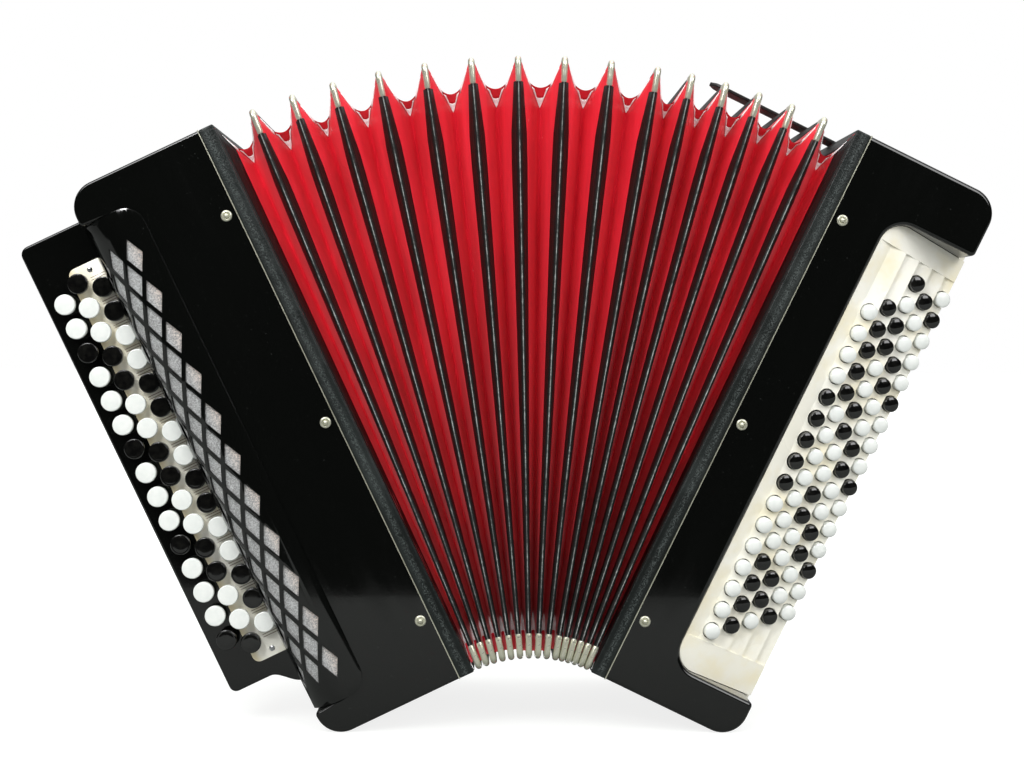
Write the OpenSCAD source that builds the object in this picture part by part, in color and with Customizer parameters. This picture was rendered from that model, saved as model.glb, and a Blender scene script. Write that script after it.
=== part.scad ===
// Chromatic button accordion, with its bellows fanned out: it stands on the
// lower outer corners of its two casings.
//
// Frame: +X to the right of someone in front, +Y away from them, +Z up. The
// origin is below the middle of the instrument, on the surface it stands on.
//
// The members of the fan (treble casing, 15 bellows ridges, bass casing) lie in
// planes that all meet in one line, the apex, below the surface. Each member is
// drawn in its own frame: z runs up along the member, measured from the apex, y
// is the depth, and x is measured from the member's own plane. On the two
// casings x runs outward, away from the bellows.

/* [Fan] */
// Opening of each of the 3 folds beside the treble casing, degrees
treble_fold_angle = 3.27; // [3:0.01:3.5]
// Opening of each of the 7 folds in the middle, degrees
middle_fold_angle = 3.63; // [3.3:0.01:3.8]
// Opening of each of the 6 folds beside the bass casing, degrees
bass_fold_angle = 2.71; // [2.7:0.01:3.1]

/* [Bellows] */
// Distance from the apex to the lower end of the folds
lower_end = 92.5; // [92:0.5:100]
// Height of the bellows along a fold
bellows_h = 403; // [380:1:403]
// Depth of the bellows, front to back
bellows_d = 188; // [170:1:188]
// Depth of a fold, from ridge to valley
fold_depth = 27; // [20:1:30]
// Thickness of the taped ridge of a fold
tape_t = 3.6; // [3:0.1:3.6]
// Width of the tape on each side of a ridge
tape_w = 8; // [6:0.5:10]
// Thickness of a metal corner guard
guard_t = 4; // [3.6:0.1:4]
// Length of a corner guard's two legs
guard_leg = 17; // [14:0.5:22]
// Thickness of the folded panels
panel_t = 1; // [0.8:0.1:1]

/* [Casings] */
// Height of a casing along its member
casing_h = 404.5; // [404:0.5:408]
// Depth of the casings, front to back
casing_d = 190; // [190:1:194]
// Distance from the bellows to a casing's outer face
casing_outer = 107; // [107:0.5:108]
// Width of a bellows frame, between the folds and the casing
frame_w = 9.2; // [8:0.1:10]
// Thickness of the casing walls
wall_t = 6; // [5:0.5:7]
// Radius of a casing's two outer corners
corner_r = 18; // [14:1:20]

/* [Treble keyboard] */
// Distance between neighbouring treble buttons in a row
treble_pitch = 18; // [18:0.1:18.4]
// Diameter of a treble button's head
treble_button_d = 14; // [12:0.2:14]
// Travel of a treble button
treble_travel = 3.1; // [2.5:0.1:3.5]
// Outer edge of the fingerboard, from the bellows
fingerboard_outer = 154; // [153:0.5:158]
// Depth of the fingerboard's surface
fingerboard_y = -65; // [-66:0.5:-65]
// Pitch of the grille's lozenges along the casing
lozenge_pitch = 29.9; // [29:0.1:30]

/* [Bass keyboard] */
// Distance between neighbouring bass buttons in a row
bass_pitch = 16; // [15.5:0.1:16]
// Diameter of a bass button
bass_button_d = 10.6; // [9:0.1:10.8]
// Diameter of the holes in the bass button board
bass_hole_d = 12; // [11:0.1:12]
// Travel of a bass button
bass_travel = 3; // [2.5:0.1:3]
// Tilt of the treads that the bass buttons stand on, degrees
tread_tilt = 14; // [12:1:16]

/* [Straps] */
// Width of the leather hand strap
hand_strap_w = 42; // [35:1:46]
// Rise of the hand strap over the end cover
hand_strap_rise = 11; // [8:1:14]
// Width of the closing strap
closing_strap_w = 18; // [14:1:22]

/* [Hidden] */
FOLDS = 16;
RIDGES = FOLDS - 1;
TREBLE_FOLDS = 3;
BASS_FOLDS = 6;

fit = 0.3; // clearance between neighbouring pieces
pin_d = 3; // shank of the pins that hold a casing to its bellows frame
pin_dome_r = 2.5;
pin_reach = 2.9; // how far a pin's dome stands out of the casing
bracket_reach = 11; // how far the shoulder straps' brackets stand out behind
pin_x = 16.5;
pin_heights = [139, 286, 438];
frame_bar = 12; // width of a bellows frame's bars
tongue_x = 21; // how far a frame's tongue reaches into its casing
ring_steps = 6; // lengths that a fold's upright sides are made in

upper_end = lower_end + casing_h;
ridge_top = lower_end + bellows_h;
front = -casing_d / 2;
back = casing_d / 2;
inside = casing_d / 2 - wall_t;

// Treble side: the grille's bend runs around grille_bend, from its flat rim
grille_bend = [80, -67];
grille_r = 30.5;
grille_t = 2.5;
grille_rim_x = 66.5;
grille_span = [114, 472];
grille_turn = 70;
window_x = 72;
window_span = [118, 468];
mesh_t = 0.5;
mesh_r = grille_r - grille_t - 0.1;
lozenge_half = [11.9, 6];
lozenge_top = 440;
lozenge_rows = 5;
lozenge_cells = 11;
lozenge_start = 4.8; // degrees round the bend, first row
lozenge_step = 14.3; // degrees round the bend, row to row

board_t = 5;
board_corner_r = 6;
fingerboard_top = 481;
overlay_t = 1.2;
overlay_x = 132;
overlay_span = [164, 460.5];
head_t = 4.2;
head_gap = treble_travel + 1; // from the overlay to a head's underside
stem_d = 4;
stem_end = -54.4;

// Each row of treble buttons: distance out, height of the top button, letters
// from the top down, W for white and B for black
TREBLE_ROWS = [
    [142, 438.2, "WWBWWWBWWWBWWWB"],
    [128, 447.2, "BWWBBWWBBWWBBWWB"],
    [113.6, 438.2, "BBWWBBWWBBWWBBW"]
];
// Each row's lever: sideways offset from its button, distance out of its pallet
LEVER_ROWS = [[-3.6, 34], [0, 50], [0, 66]];
axle = [88, -52.7];
axle_d = 3;
axle_bore_d = 3.2;
hub_d = 7;
lever_w = 2;
lever_y = [-54, -51.4];
pallet_size = 12;
pallet_y = [-47.3, -45.3];
deck_y = [-45, -40];
post_offset = 4.5; // from a button of the outer row to the next axle post
post_w = 2.6;

// Bass side: five treads step down from the casing's front
recess_x = 45;
recess_span = [121, 455];
recess_r = 17;
step_span = [144, 439];
board_slope = 26;
tread_row_pitch = 12.7;
tread_l = tread_row_pitch * cos(board_slope - tread_tilt);
first_tread = [55.2, -86.5];
board_edge = [recess_x + fit, front + 2];
board_back_y = -56;
bass_board_t = 3;
// Each row of bass buttons: height of its top button and the letters
BASS_ROWS = [
    [392, "WWWWBBBBBWWWWWWW"],
    [400.8, "BBBBBWWWWWWWBBBB"],
    [408.8, "WBBWWBBWWBBWWBBW"],
    [416.7, "BWWBBWWBBWWBBWWB"],
    [424.3, "WBWWWBWWWBWWWBWW"]
];
NOTE_ROWS = [0, 1];
CHORD_ROWS = [2, 3, 4];
AIR_ROW = 2;
air_height = BASS_ROWS[AIR_ROW][0] + bass_pitch;
air_stem = 22;
air_arm = 20; // from the valve's axle to the air button's stem
partition_x = [30, 35];
cover_t = 4;
cover_span = [109, 467];
cover_y = [-54, 88];
strap_y = 59;
wheel_x = 70;

// The apex's place puts the origin below the middle of the whole instrument
lowest_corner = [casing_outer - corner_r, lower_end + corner_r];
board_corner = [fingerboard_outer - board_corner_r, fingerboard_top - board_corner_r];
half_fan = fan_angle(FOLDS);
treble_reach = board_corner[1] * sin(half_fan) + board_corner[0] * cos(half_fan) + board_corner_r;
bass_reach = (upper_end - corner_r) * sin(half_fan) + lowest_corner[0] * cos(half_fan) + corner_r;
apex_x = (treble_reach - bass_reach) / 2;
middle_y = (pin_reach - bracket_reach) / 2;
apex_z = corner_r - lowest_corner[1] * cos(half_fan) + lowest_corner[0] * sin(half_fan);

// ---------- Rules and placing ----------

function two_digits(i) = i < 10 ? str("0", i) : str(i);

// Opening of fold i, from 1 at the treble casing to 16 at the bass casing
function fold_angle(i) =
    i <= TREBLE_FOLDS ? treble_fold_angle
    : i <= FOLDS - BASS_FOLDS ? middle_fold_angle
    : bass_fold_angle;

function angle_up_to(i) = i == 0 ? 0 : fold_angle(i) + angle_up_to(i - 1);

// Lean of member i to the right: 0 is the treble casing, FOLDS the bass casing
function fan_angle(i) = angle_up_to(i) - angle_up_to(FOLDS) / 2;

function arc(centre, r, from, to, steps = 8) =
    [for (k = [0:steps]) let (a = from + (to - from) * k / steps)
        centre + r * [cos(a), sin(a)]];

module on_member(i) translate([apex_x, middle_y, apex_z]) rotate([0, fan_angle(i), 0]) children();

module treble_side() on_member(0) mirror([1, 0, 0]) children();

module bass_side() on_member(FOLDS) children();

module block(low, high) translate(low) cube(high - low);

// Extrudes an outline in x and z through the depth from y0 to y1
module through_depth(y0, y1) rotate([90, 0, 0]) translate([0, 0, -y1])
    linear_extrude(y1 - y0) children();

// Extrudes a profile in x and y along the member from z0 to z1
module along(span) translate([0, 0, span[0]]) linear_extrude(span[1] - span[0]) children();

// ---------- Pieces that both casings have ----------

module casing_outline(inset) {
    r = corner_r - inset;
    x = casing_outer - inset - r;
    bottom = lower_end + inset;
    top = upper_end - inset;
    start = frame_w - (inset > 0 ? 1 : 0);
    polygon(concat(
        [[start, bottom]],
        arc([x, bottom + r], r, -90, 0),
        arc([x, top - r], r, 0, 90),
        [[start, top]]
    ));
}

module casing_shell() difference() {
    through_depth(front, back) casing_outline(0);
    through_depth(-inside, inside) casing_outline(wall_t);
}

module pin_holes() for (z = pin_heights)
    translate([pin_x, 0, z]) rotate([90, 0, 0])
        cylinder(h = casing_d + 2, d = pin_d + 0.2, center = true, $fn = 32);

module bellows_frame() difference() {
    union() {
        block([0, front, lower_end], [frame_w, back, upper_end]);
        block([frame_w, fit - inside, lower_end + wall_t + fit],
              [tongue_x, inside - fit, upper_end - wall_t - fit]);
    }
    block([-1, front + frame_bar, lower_end + frame_bar],
          [tongue_x + 1, back - frame_bar, upper_end - frame_bar]);
    pin_holes();
}

// Domed pins on washers, three in front and three behind
module frame_pins() for (side = [0, 1], z = pin_heights)
    mirror([0, side, 0]) translate([pin_x, front, z]) rotate([90, 0, 0])
        rotate_extrude($fn = 32) polygon(concat(
            [[0, -11], [pin_d / 2, -11], [pin_d / 2, 0], [3.8, 0], [3.8, 0.6], [2.5, 0.6]],
            arc([0, pin_reach - pin_dome_r], pin_dome_r, 20, 90, 4)
        ));

// ---------- Bellows ----------

// Cross-section of a taped ridge, with its round edge at y = 0
module tape_profile() polygon(concat(
    [[tape_t / 2, tape_w], [-tape_t / 2, tape_w]],
    arc([0, tape_t / 2], tape_t / 2, 180, 360, 6)
));

module ridge_tape(i) color([0.09, 0.09, 0.1]) on_member(i) {
    bar_span = [lower_end + guard_leg, ridge_top - guard_leg];
    bar_l = bellows_d - 2 * guard_leg;
    for (side = [0, 1]) mirror([0, side, 0])
        translate([0, -bellows_d / 2, 0]) along(bar_span) tape_profile();
    translate([0, -bar_l / 2, ridge_top]) rotate([-90, 0, 0]) linear_extrude(bar_l) tape_profile();
    translate([0, bar_l / 2, lower_end]) rotate([90, 0, 0]) linear_extrude(bar_l) tape_profile();
}

// One bent metal guard, with its outer corner at the origin
module corner_guard() rotate([90, 0, 90]) linear_extrude(guard_t, center = true)
    polygon(concat(
        [[tape_w, guard_leg], [0, guard_leg]],
        arc([6, 6], 6, 180, 270, 5),
        [[guard_leg, 0], [guard_leg, tape_w], [tape_w, tape_w]]
    ));

module corner_guards(i) color([0.75, 0.72, 0.65]) on_member(i)
    for (side = [0, 1]) mirror([0, side, 0]) {
        translate([0, -bellows_d / 2, lower_end]) corner_guard();
        translate([0, -bellows_d / 2, ridge_top]) mirror([0, 0, 1]) corner_guard();
    }

// The points round a fold's rectangular ring: front (-1) or back (1), and share
// of the height. The upright sides have extra points, as they are twisted.
RING = concat(
    [[-1, 0]],
    [for (k = [0:ring_steps]) [1, k / ring_steps]],
    [for (k = [ring_steps:-1:1]) [-1, k / ring_steps]]
);

// A point of the ring: lean of its plane, distance from that plane, distance
// inward from the ridges, and its place in RING
function ring_point(lean, x, inward, p) =
    let (y = (bellows_d / 2 - inward) * p[0],
         z = lower_end + inward + (bellows_h - 2 * inward) * p[1])
    [apex_x + z * sin(lean) + x * cos(lean), middle_y + y,
     apex_z + z * cos(lean) - x * sin(lean)];

// Two triangles over the corners a, b, c and d, split from a to c
function split(a, b, c, d) = [[a, b, c], [a, c, d]];

// One fold: a V between two ridges, as a closed ring round the bellows
module fold_panel(i) {
    start = tape_w + fit;
    leans = [fan_angle(i - 1), fan_angle(i - 1) + fold_angle(i) / 2, fan_angle(i)];
    near = 0.4;
    offsets = [[near + panel_t, near], [0, 0], [-near - panel_t, -near]];
    depths = [[start, start], [fold_depth, fold_depth + 1.6 * panel_t], [start, start]];
    n = len(RING);
    points = [for (s = [0:2], layer = [0:1], p = RING)
        ring_point(leans[s], offsets[s][layer], depths[s][layer], p)];
    // First point of a layer: s from one ridge to the next, outer layer 0, inner 1
    first = [for (s = [0:2]) [for (layer = [0:1]) n * (2 * s + layer)]];
    faces = [for (k = [0:n - 1]) let (d = (k + 1) % n) each concat(
        [for (s = [0:1]) each split(first[s][0] + k, first[s][0] + d, first[s + 1][0] + d, first[s + 1][0] + k)],
        [for (s = [0:1]) each split(first[s][1] + k, first[s + 1][1] + k, first[s + 1][1] + d, first[s][1] + d)],
        split(first[0][0] + d, first[0][0] + k, first[0][1] + k, first[0][1] + d),
        split(first[2][0] + k, first[2][0] + d, first[2][1] + d, first[2][1] + k)
    )];
    polyhedron(points = points, faces = faces, convexity = 6);
}

module bellows_panels() color([0.85, 0.05, 0.13]) for (i = [1:FOLDS]) fold_panel(i);

// ---------- Treble side ----------

module treble_bellows_frame() color([0.1, 0.1, 0.1]) treble_side() bellows_frame();

module treble_casing() color([0.03, 0.03, 0.03]) treble_side() difference() {
    casing_shell();
    // Room for the bent grille, and the window that it covers
    block([grille_bend[0], front - 1, grille_span[0] - fit],
          [casing_outer + 1, grille_bend[1], grille_span[1] + fit]);
    block([window_x, front - 1, window_span[0]], [grille_bend[0] + 1, -inside + 1, window_span[1]]);
    // Slot that the levers reach through
    block([casing_outer - wall_t - 1, -58, 162], [casing_outer + 1, -46, 462]);
    pin_holes();
}

module grille_profile() polygon(concat(
    [[grille_rim_x, front], [grille_rim_x, grille_bend[1] - grille_r]],
    arc(grille_bend, grille_r, -90, grille_turn - 90, 14),
    arc(grille_bend, grille_r - grille_t, grille_turn - 90, -90, 14)
));

module grille_end() polygon(concat(
    arc(grille_bend, grille_r - grille_t, -90, grille_turn - 90, 14),
    [[grille_bend[0] + (grille_r - grille_t) * sin(grille_turn), grille_bend[1]], grille_bend]
));

module lozenges() for (row = [0:lozenge_rows - 1], cell = [0:lozenge_cells - 1 - row % 2])
    translate([grille_bend[0], grille_bend[1],
               lozenge_top - lozenge_pitch * (cell + (row % 2) / 2)])
        rotate([0, 0, lozenge_start + lozenge_step * row - 90])
            translate([grille_r - 2 * grille_t, 0, 0]) rotate([0, 90, 0])
                linear_extrude(3 * grille_t) polygon([
                    [lozenge_half[0], 0], [0, lozenge_half[1]],
                    [-lozenge_half[0], 0], [0, -lozenge_half[1]]
                ]);

module treble_grille() color([0.02, 0.02, 0.02]) treble_side() {
    difference() {
        along(grille_span) grille_profile();
        lozenges();
    }
    along([grille_span[0], grille_span[0] + grille_t]) grille_end();
    along([grille_span[1] - grille_t, grille_span[1]]) grille_end();
}

module grille_mesh() color("silver") treble_side() along([window_span[0] + fit, window_span[1] - fit])
    polygon(concat(
        [[window_x + fit, grille_bend[1] - mesh_r]],
        arc(grille_bend, mesh_r, -90, grille_turn - 92, 14),
        arc(grille_bend, mesh_r - mesh_t, grille_turn - 92, -90, 14),
        [[window_x + fit, grille_bend[1] - mesh_r + mesh_t]]
    ));

// Plan of the fingerboard: square above, with a curved step in its lower end
module fingerboard_outline() polygon(concat(
    [[casing_outer, 138], [casing_outer + 2, 138]],
    [for (k = [1:8]) [casing_outer + 2 + 20 * k / 8, 144 - 6 * cos(180 * k / 8)]],
    [[fingerboard_outer - 5, 150], [fingerboard_outer, 155]],
    arc(board_corner, board_corner_r, 0, 90, 4),
    [[casing_outer, fingerboard_top]]
));

function button_height(row, k) = row[1] - treble_pitch * k;

module fingerboard() color([0.03, 0.03, 0.03]) treble_side() difference() {
    through_depth(fingerboard_y, -25) fingerboard_outline();
    block([casing_outer - 1, fingerboard_y + board_t, 156], [fingerboard_outer - 5, -30, 474]);
    stem_holes(fingerboard_y - 1, fingerboard_y + board_t + 1);
}

module stem_holes(y0, y1) for (row = TREBLE_ROWS, k = [0:len(row[2]) - 1])
    translate([row[0], y1, button_height(row, k)]) rotate([90, 0, 0])
        cylinder(h = y1 - y0, d = stem_d + 1, $fn = 24);

module fingerboard_overlay() color([0.91, 0.89, 0.8]) treble_side() difference() {
    through_depth(fingerboard_y - overlay_t, fingerboard_y) polygon(concat(
        [[casing_outer, overlay_span[0]]],
        arc([overlay_x - 3, overlay_span[0] + 3], 3, -90, 0, 4),
        arc([overlay_x - 3, overlay_span[1] - 3], 3, 0, 90, 4),
        [[casing_outer, overlay_span[1]]]
    ));
    stem_holes(fingerboard_y - overlay_t - 1, fingerboard_y + 1);
}

// A flat round head with softened edges, on a stem
module treble_button() {
    under = overlay_t + head_gap; // above the fingerboard
    r = treble_button_d / 2;
    rotate([90, 0, 0]) rotate_extrude($fn = 40) polygon([
        [0, fingerboard_y - stem_end], [stem_d / 2, fingerboard_y - stem_end],
        [stem_d / 2, under], [r - 0.4, under], [r, under + 0.4],
        [r, under + head_t - 0.8], [r - 0.8, under + head_t], [0, under + head_t]
    ]);
}

module button_colour(letter) color(letter == "W" ? [0.95, 0.95, 0.94] : [0.04, 0.04, 0.04])
    children();

module treble_buttons(r) treble_side() for (k = [0:len(TREBLE_ROWS[r][2]) - 1])
    translate([TREBLE_ROWS[r][0], fingerboard_y, button_height(TREBLE_ROWS[r], k)])
        button_colour(TREBLE_ROWS[r][2][k]) treble_button();

// A lever under one button: a bar on the axle, a pad under the button's stem,
// and a pallet that covers its hole in the soundboard
module treble_lever(r) {
    button_x = TREBLE_ROWS[r][0];
    aside = LEVER_ROWS[r][0];
    pallet_x = LEVER_ROWS[r][1];
    half = pallet_size / 2;
    difference() {
        union() {
            block([pallet_x - 2, lever_y[0], aside - lever_w / 2],
                  [button_x + 3, lever_y[1], aside + lever_w / 2]);
            block([button_x - 3, lever_y[0], aside - lever_w / 2],
                  [button_x + 3, lever_y[1], 2]);
            translate([axle[0], axle[1], aside])
                cylinder(h = lever_w, d = hub_d, center = true, $fn = 32);
            translate([pallet_x, pallet_y[0], aside]) rotate([90, 0, 0])
                cylinder(h = pallet_y[0] - lever_y[0], d = lever_w, $fn = 16);
        }
        translate([axle[0], axle[1], aside])
            cylinder(h = lever_w + 2, d = axle_bore_d, center = true, $fn = 32);
    }
    block([pallet_x - half, pallet_y[0], aside - half], [pallet_x + half, pallet_y[1], aside + half]);
}

module treble_levers(r) color([0.7, 0.7, 0.72]) treble_side()
    for (k = [0:len(TREBLE_ROWS[r][2]) - 1])
        translate([0, 0, button_height(TREBLE_ROWS[r], k)]) treble_lever(r);

// The soundboard with a hole under each pallet, the levers' axle and its posts
module treble_soundboard() treble_side() {
    hole = pallet_size - 4;
    axle_span = [160, 466];
    post_heights = [for (k = [0, 7, 14]) TREBLE_ROWS[0][1] + post_offset - treble_pitch * k];
    color([0.8, 0.65, 0.45]) difference() {
        intersection() {
            block([tongue_x + 1, deck_y[0], lower_end], [casing_outer, deck_y[1], upper_end]);
            through_depth(deck_y[0] - 1, deck_y[1] + 1) casing_outline(wall_t + fit);
        }
        for (r = [0:2], k = [0:len(TREBLE_ROWS[r][2]) - 1])
            translate([LEVER_ROWS[r][1] - hole / 2, deck_y[0] - 1,
                       button_height(TREBLE_ROWS[r], k) + LEVER_ROWS[r][0] - hole / 2])
                cube([hole, deck_y[1] - deck_y[0] + 2, hole]);
    }
    color([0.7, 0.7, 0.72]) translate([axle[0], axle[1], axle_span[0]])
        cylinder(h = axle_span[1] - axle_span[0], d = axle_d, $fn = 32);
    color([0.8, 0.65, 0.45]) for (z = post_heights) difference() {
        block([axle[0] - 3, axle[1] - 3, z - post_w / 2], [axle[0] + 3, deck_y[0], z + post_w / 2]);
        translate([axle[0], axle[1], z]) cylinder(h = post_w + 2, d = axle_d, center = true, $fn = 32);
    }
}

module treble_reed_blocks() color([0.85, 0.7, 0.5]) treble_side() for (x = [26, 44, 62])
    block([x, deck_y[1], 130], [x + 14, 20, 460]);

module treble_pins() color([0.75, 0.72, 0.65]) treble_side() frame_pins();

// Two brackets for the shoulder straps, and the closing strap's low stud
module strap_rings() color([0.75, 0.72, 0.65]) treble_side() {
    for (z = [130, 455]) {
        block([46, back, z - 9], [74, back + 2, z + 9]);
        for (x = [46, 71]) block([x, back + 2, z - 3], [x + 3, back + bracket_reach, z + 3]);
        block([49, back + bracket_reach - 3, z - 3], [71, back + bracket_reach, z + 3]);
    }
    translate([16, 0, upper_end]) cylinder(h = 1.2, d = 8, $fn = 32);
}

// ---------- Bass side ----------

// Middle of tread row r, in x and y
function tread(r) = first_tread
    + r * tread_row_pitch * [cos(board_slope), sin(board_slope)]
    + tread_l / 2 * [cos(tread_tilt), sin(tread_tilt)];

function tread_end(r, side) = tread(r) + side * tread_l / 2 * [cos(tread_tilt), sin(tread_tilt)];

// Puts children on a tread, with z straight out of it
module on_tread(r, height) translate([tread(r)[0], tread(r)[1], height])
    rotate([0, 0, tread_tilt - 90]) rotate([0, 90, 0]) children();

module bass_bellows_frame() color([0.1, 0.1, 0.1]) bass_side() bellows_frame();

module recess_outline(inset) {
    r = recess_r - inset;
    x = recess_x + inset + r;
    bottom = recess_span[0] + inset;
    top = recess_span[1] - inset;
    polygon(concat(
        arc([x, bottom + r], r, 270, 180),
        arc([x, top - r], r, 180, 90),
        [[casing_outer + 3, top], [casing_outer + 3, bottom]]
    ));
}

module bass_casing() color([0.03, 0.03, 0.03]) bass_side() {
    web = wall_t;
    difference() {
        union() {
            casing_shell();
            // End walls of the button recess, with filled corners
            for (z = [recess_span[0] - web, recess_span[1]])
                block([recess_x, -inside - 0.5, z], [casing_outer - 1, board_back_y + 1, z + web]);
            for (z = [recess_span[0] - 1, recess_span[1] - recess_r])
                block([recess_x - web, -inside - 0.5, z],
                      [recess_x + recess_r, -76, z + recess_r + 1]);
        }
        through_depth(front - 1, board_back_y + 1) recess_outline(0);
        block([casing_outer - wall_t - 1, board_back_y, 125], [casing_outer + 1, 80, 451]);
        translate([wheel_x, strap_y, upper_end]) cylinder(h = 30, d = 6.2, center = true, $fn = 32);
        pin_holes();
    }
    // Partition that carries the reed blocks, with the air hole
    difference() {
        block([partition_x[0], -inside, lower_end + wall_t],
              [partition_x[1], inside, upper_end - wall_t]);
        translate([partition_x[0] - 1, -72, air_height]) rotate([0, 90, 0])
            cylinder(h = 7, d = 12, $fn = 32);
    }
}

module bass_end_cover() color([0.91, 0.89, 0.8]) bass_side() difference() {
    block([casing_outer, cover_y[0], cover_span[0]],
          [casing_outer + cover_t, cover_y[1], cover_span[1]]);
    for (z = [180:24:396], y = [-30, -12, 6])
        translate([casing_outer - 1, y, z]) rotate([0, 90, 0])
            cylinder(h = cover_t + 2, d = 6, $fn = 24);
}

// Profile of the stepped board, from the front edge to its outer edge
module step_profile() polygon(concat(
    [board_edge],
    [for (r = [0:4]) each [tread_end(r, -1), tread_end(r, 1)]],
    [[tread_end(4, 1)[0], board_back_y], [tread_end(4, 1)[0] - 5, board_back_y]],
    [for (r = [4, 0]) tread_end(r, -1) + bass_board_t * [-sin(board_slope), cos(board_slope)]],
    [board_edge + [0, bass_board_t]]
));

module plain_profile() polygon([
    board_edge, tread_end(4, 1), [tread_end(4, 1)[0], board_back_y],
    [tread_end(4, 1)[0] - 5, board_back_y], board_edge + [0, bass_board_t]
]);

module bass_button_board() color([0.91, 0.89, 0.8]) bass_side() difference() {
    intersection() {
        union() {
            along(step_span) step_profile();
            along([recess_span[0] + fit, step_span[0]]) plain_profile();
            along([step_span[1], recess_span[1] - fit]) plain_profile();
        }
        through_depth(front - 1, board_back_y + 1) recess_outline(fit);
    }
    for (r = [0:4], k = [0:len(BASS_ROWS[r][1]) - 1])
        on_tread(r, BASS_ROWS[r][0] - bass_pitch * k)
            cylinder(h = 24, d = bass_hole_d, center = true, $fn = 32);
    on_tread(AIR_ROW, air_height) cylinder(h = 24, d = bass_hole_d, center = true, $fn = 32);
}

module bass_button(stem) rotate_extrude($fn = 32) polygon([
    [0, -stem], [2, -stem], [2, -4.5], [bass_button_d / 2, -4.5],
    [bass_button_d / 2, bass_travel], [bass_button_d / 2 - 0.7, bass_travel + 1],
    [3, bass_travel + 1.5], [0, bass_travel + 1.7]
]);

module bass_row(r) for (k = [0:len(BASS_ROWS[r][1]) - 1])
    on_tread(r, BASS_ROWS[r][0] - bass_pitch * k)
        button_colour(BASS_ROWS[r][1][k]) bass_button(14);

module bass_note_buttons() bass_side() for (r = NOTE_ROWS) bass_row(r);

module chord_buttons() bass_side() for (r = CHORD_ROWS) bass_row(r);

module air_button() color([0.04, 0.04, 0.04]) bass_side()
    on_tread(AIR_ROW, air_height) bass_button(air_stem);

// A cranked lever under the air button, whose pallet covers the air hole
module air_valve() color([0.7, 0.7, 0.72]) bass_side() {
    out = [sin(tread_tilt), -cos(tread_tilt)]; // straight out of a tread
    reach = [cos(tread_tilt), sin(tread_tilt)];
    stem_tip = tread(AIR_ROW) - (air_stem + fit) * out;
    pivot = stem_tip - air_arm * reach - 1.5 * out;
    pallet_x0 = partition_x[1];
    translate([0, 0, air_height - 3]) linear_extrude(6) {
        translate(pivot) rotate(tread_tilt) translate([0, -1.5]) square([air_arm + 2, 3]);
        translate(pivot) circle(d = 8, $fn = 32);
        polygon([pivot + [-1, -3], pivot + [3, -1], [pallet_x0 + 5, -72], [pallet_x0 + 3, -76],
                 [pallet_x0 + 2, -72]]);
    }
    block([pallet_x0, -81, air_height - 9], [pallet_x0 + 2, -63, air_height + 9]);
}

module bass_reed_blocks() color([0.85, 0.7, 0.5]) bass_side() for (y = [-60, -10, 40])
    block([4, y, 140], [partition_x[0], y + 14, 450]);

module bass_pins() color([0.75, 0.72, 0.65]) bass_side() frame_pins();

// A leather strap bowed over the end cover, with a metal plate on each end
module hand_strap() bass_side() {
    base = casing_outer + cover_t;
    middle = (lower_end + upper_end) / 2;
    half_l = 150;
    strap_t = 3;
    r = (half_l * half_l + hand_strap_rise * hand_strap_rise) / (2 * hand_strap_rise);
    bow = asin(half_l / r);
    centre = [base + hand_strap_rise - r, middle];
    low = strap_y - hand_strap_w / 2;
    high = strap_y + hand_strap_w / 2;
    color([0.08, 0.07, 0.07]) through_depth(low, high) polygon(concat(
        [[base, middle - half_l - 14]],
        [[base + strap_t, middle - half_l - 14]],
        arc(centre, r + strap_t, -bow, bow, 12),
        [[base + strap_t, middle + half_l + 14]],
        [[base, middle + half_l + 14]],
        arc(centre, r, bow, -bow, 12)
    ));
    color([0.75, 0.72, 0.65]) for (z = [middle - half_l - 13, middle + half_l + 1])
        block([base + strap_t, low - 2, z], [base + strap_t + 1.2, high + 2, z + 12]);
}

// A knurled wheel on the top of the casing, on the strap's adjusting screw
module strap_wheel() color([0.1, 0.1, 0.1]) bass_side() translate([wheel_x, strap_y, 0]) {
    translate([0, 0, upper_end - wall_t - 3]) cylinder(h = wall_t + 4, d = 6, $fn = 32);
    translate([0, 0, upper_end + 0.4]) difference() {
        cylinder(h = 7, d = 22, $fn = 48);
        for (a = [0:20:340]) rotate(a) translate([11.4, 0, -1]) cylinder(h = 9, d = 2, $fn = 16);
    }
}

// The strap that holds the bellows shut: it reaches over the folds' upper ends
module closing_strap() color([0.09, 0.08, 0.08]) bass_side() {
    half = closing_strap_w / 2;
    block([-98, -half, upper_end + 2], [58, half, upper_end + 4.5]);
    block([30, -half, upper_end], [58, half, upper_end + 2]);
}

// ---------- The parts ----------

treble_casing();
treble_bellows_frame();
treble_grille();
grille_mesh();
fingerboard();
fingerboard_overlay();
treble_soundboard();
treble_reed_blocks();
treble_pins();
strap_rings();
for (r = [1:3]) {
    treble_buttons(r - 1);
    treble_levers(r - 1);
}
bellows_panels();
for (i = [1:RIDGES]) {
    ridge_tape(i);
    corner_guards(i);
}
bass_casing();
bass_bellows_frame();
bass_end_cover();
bass_button_board();
bass_note_buttons();
chord_buttons();
air_button();
air_valve();
bass_reed_blocks();
bass_pins();
hand_strap();
strap_wheel();
closing_strap();
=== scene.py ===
import random
from collections import namedtuple
from math import asin, cos, degrees, pi, radians, sin, sqrt

import bmesh
import bpy
from mathutils import Matrix, Vector


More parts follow.
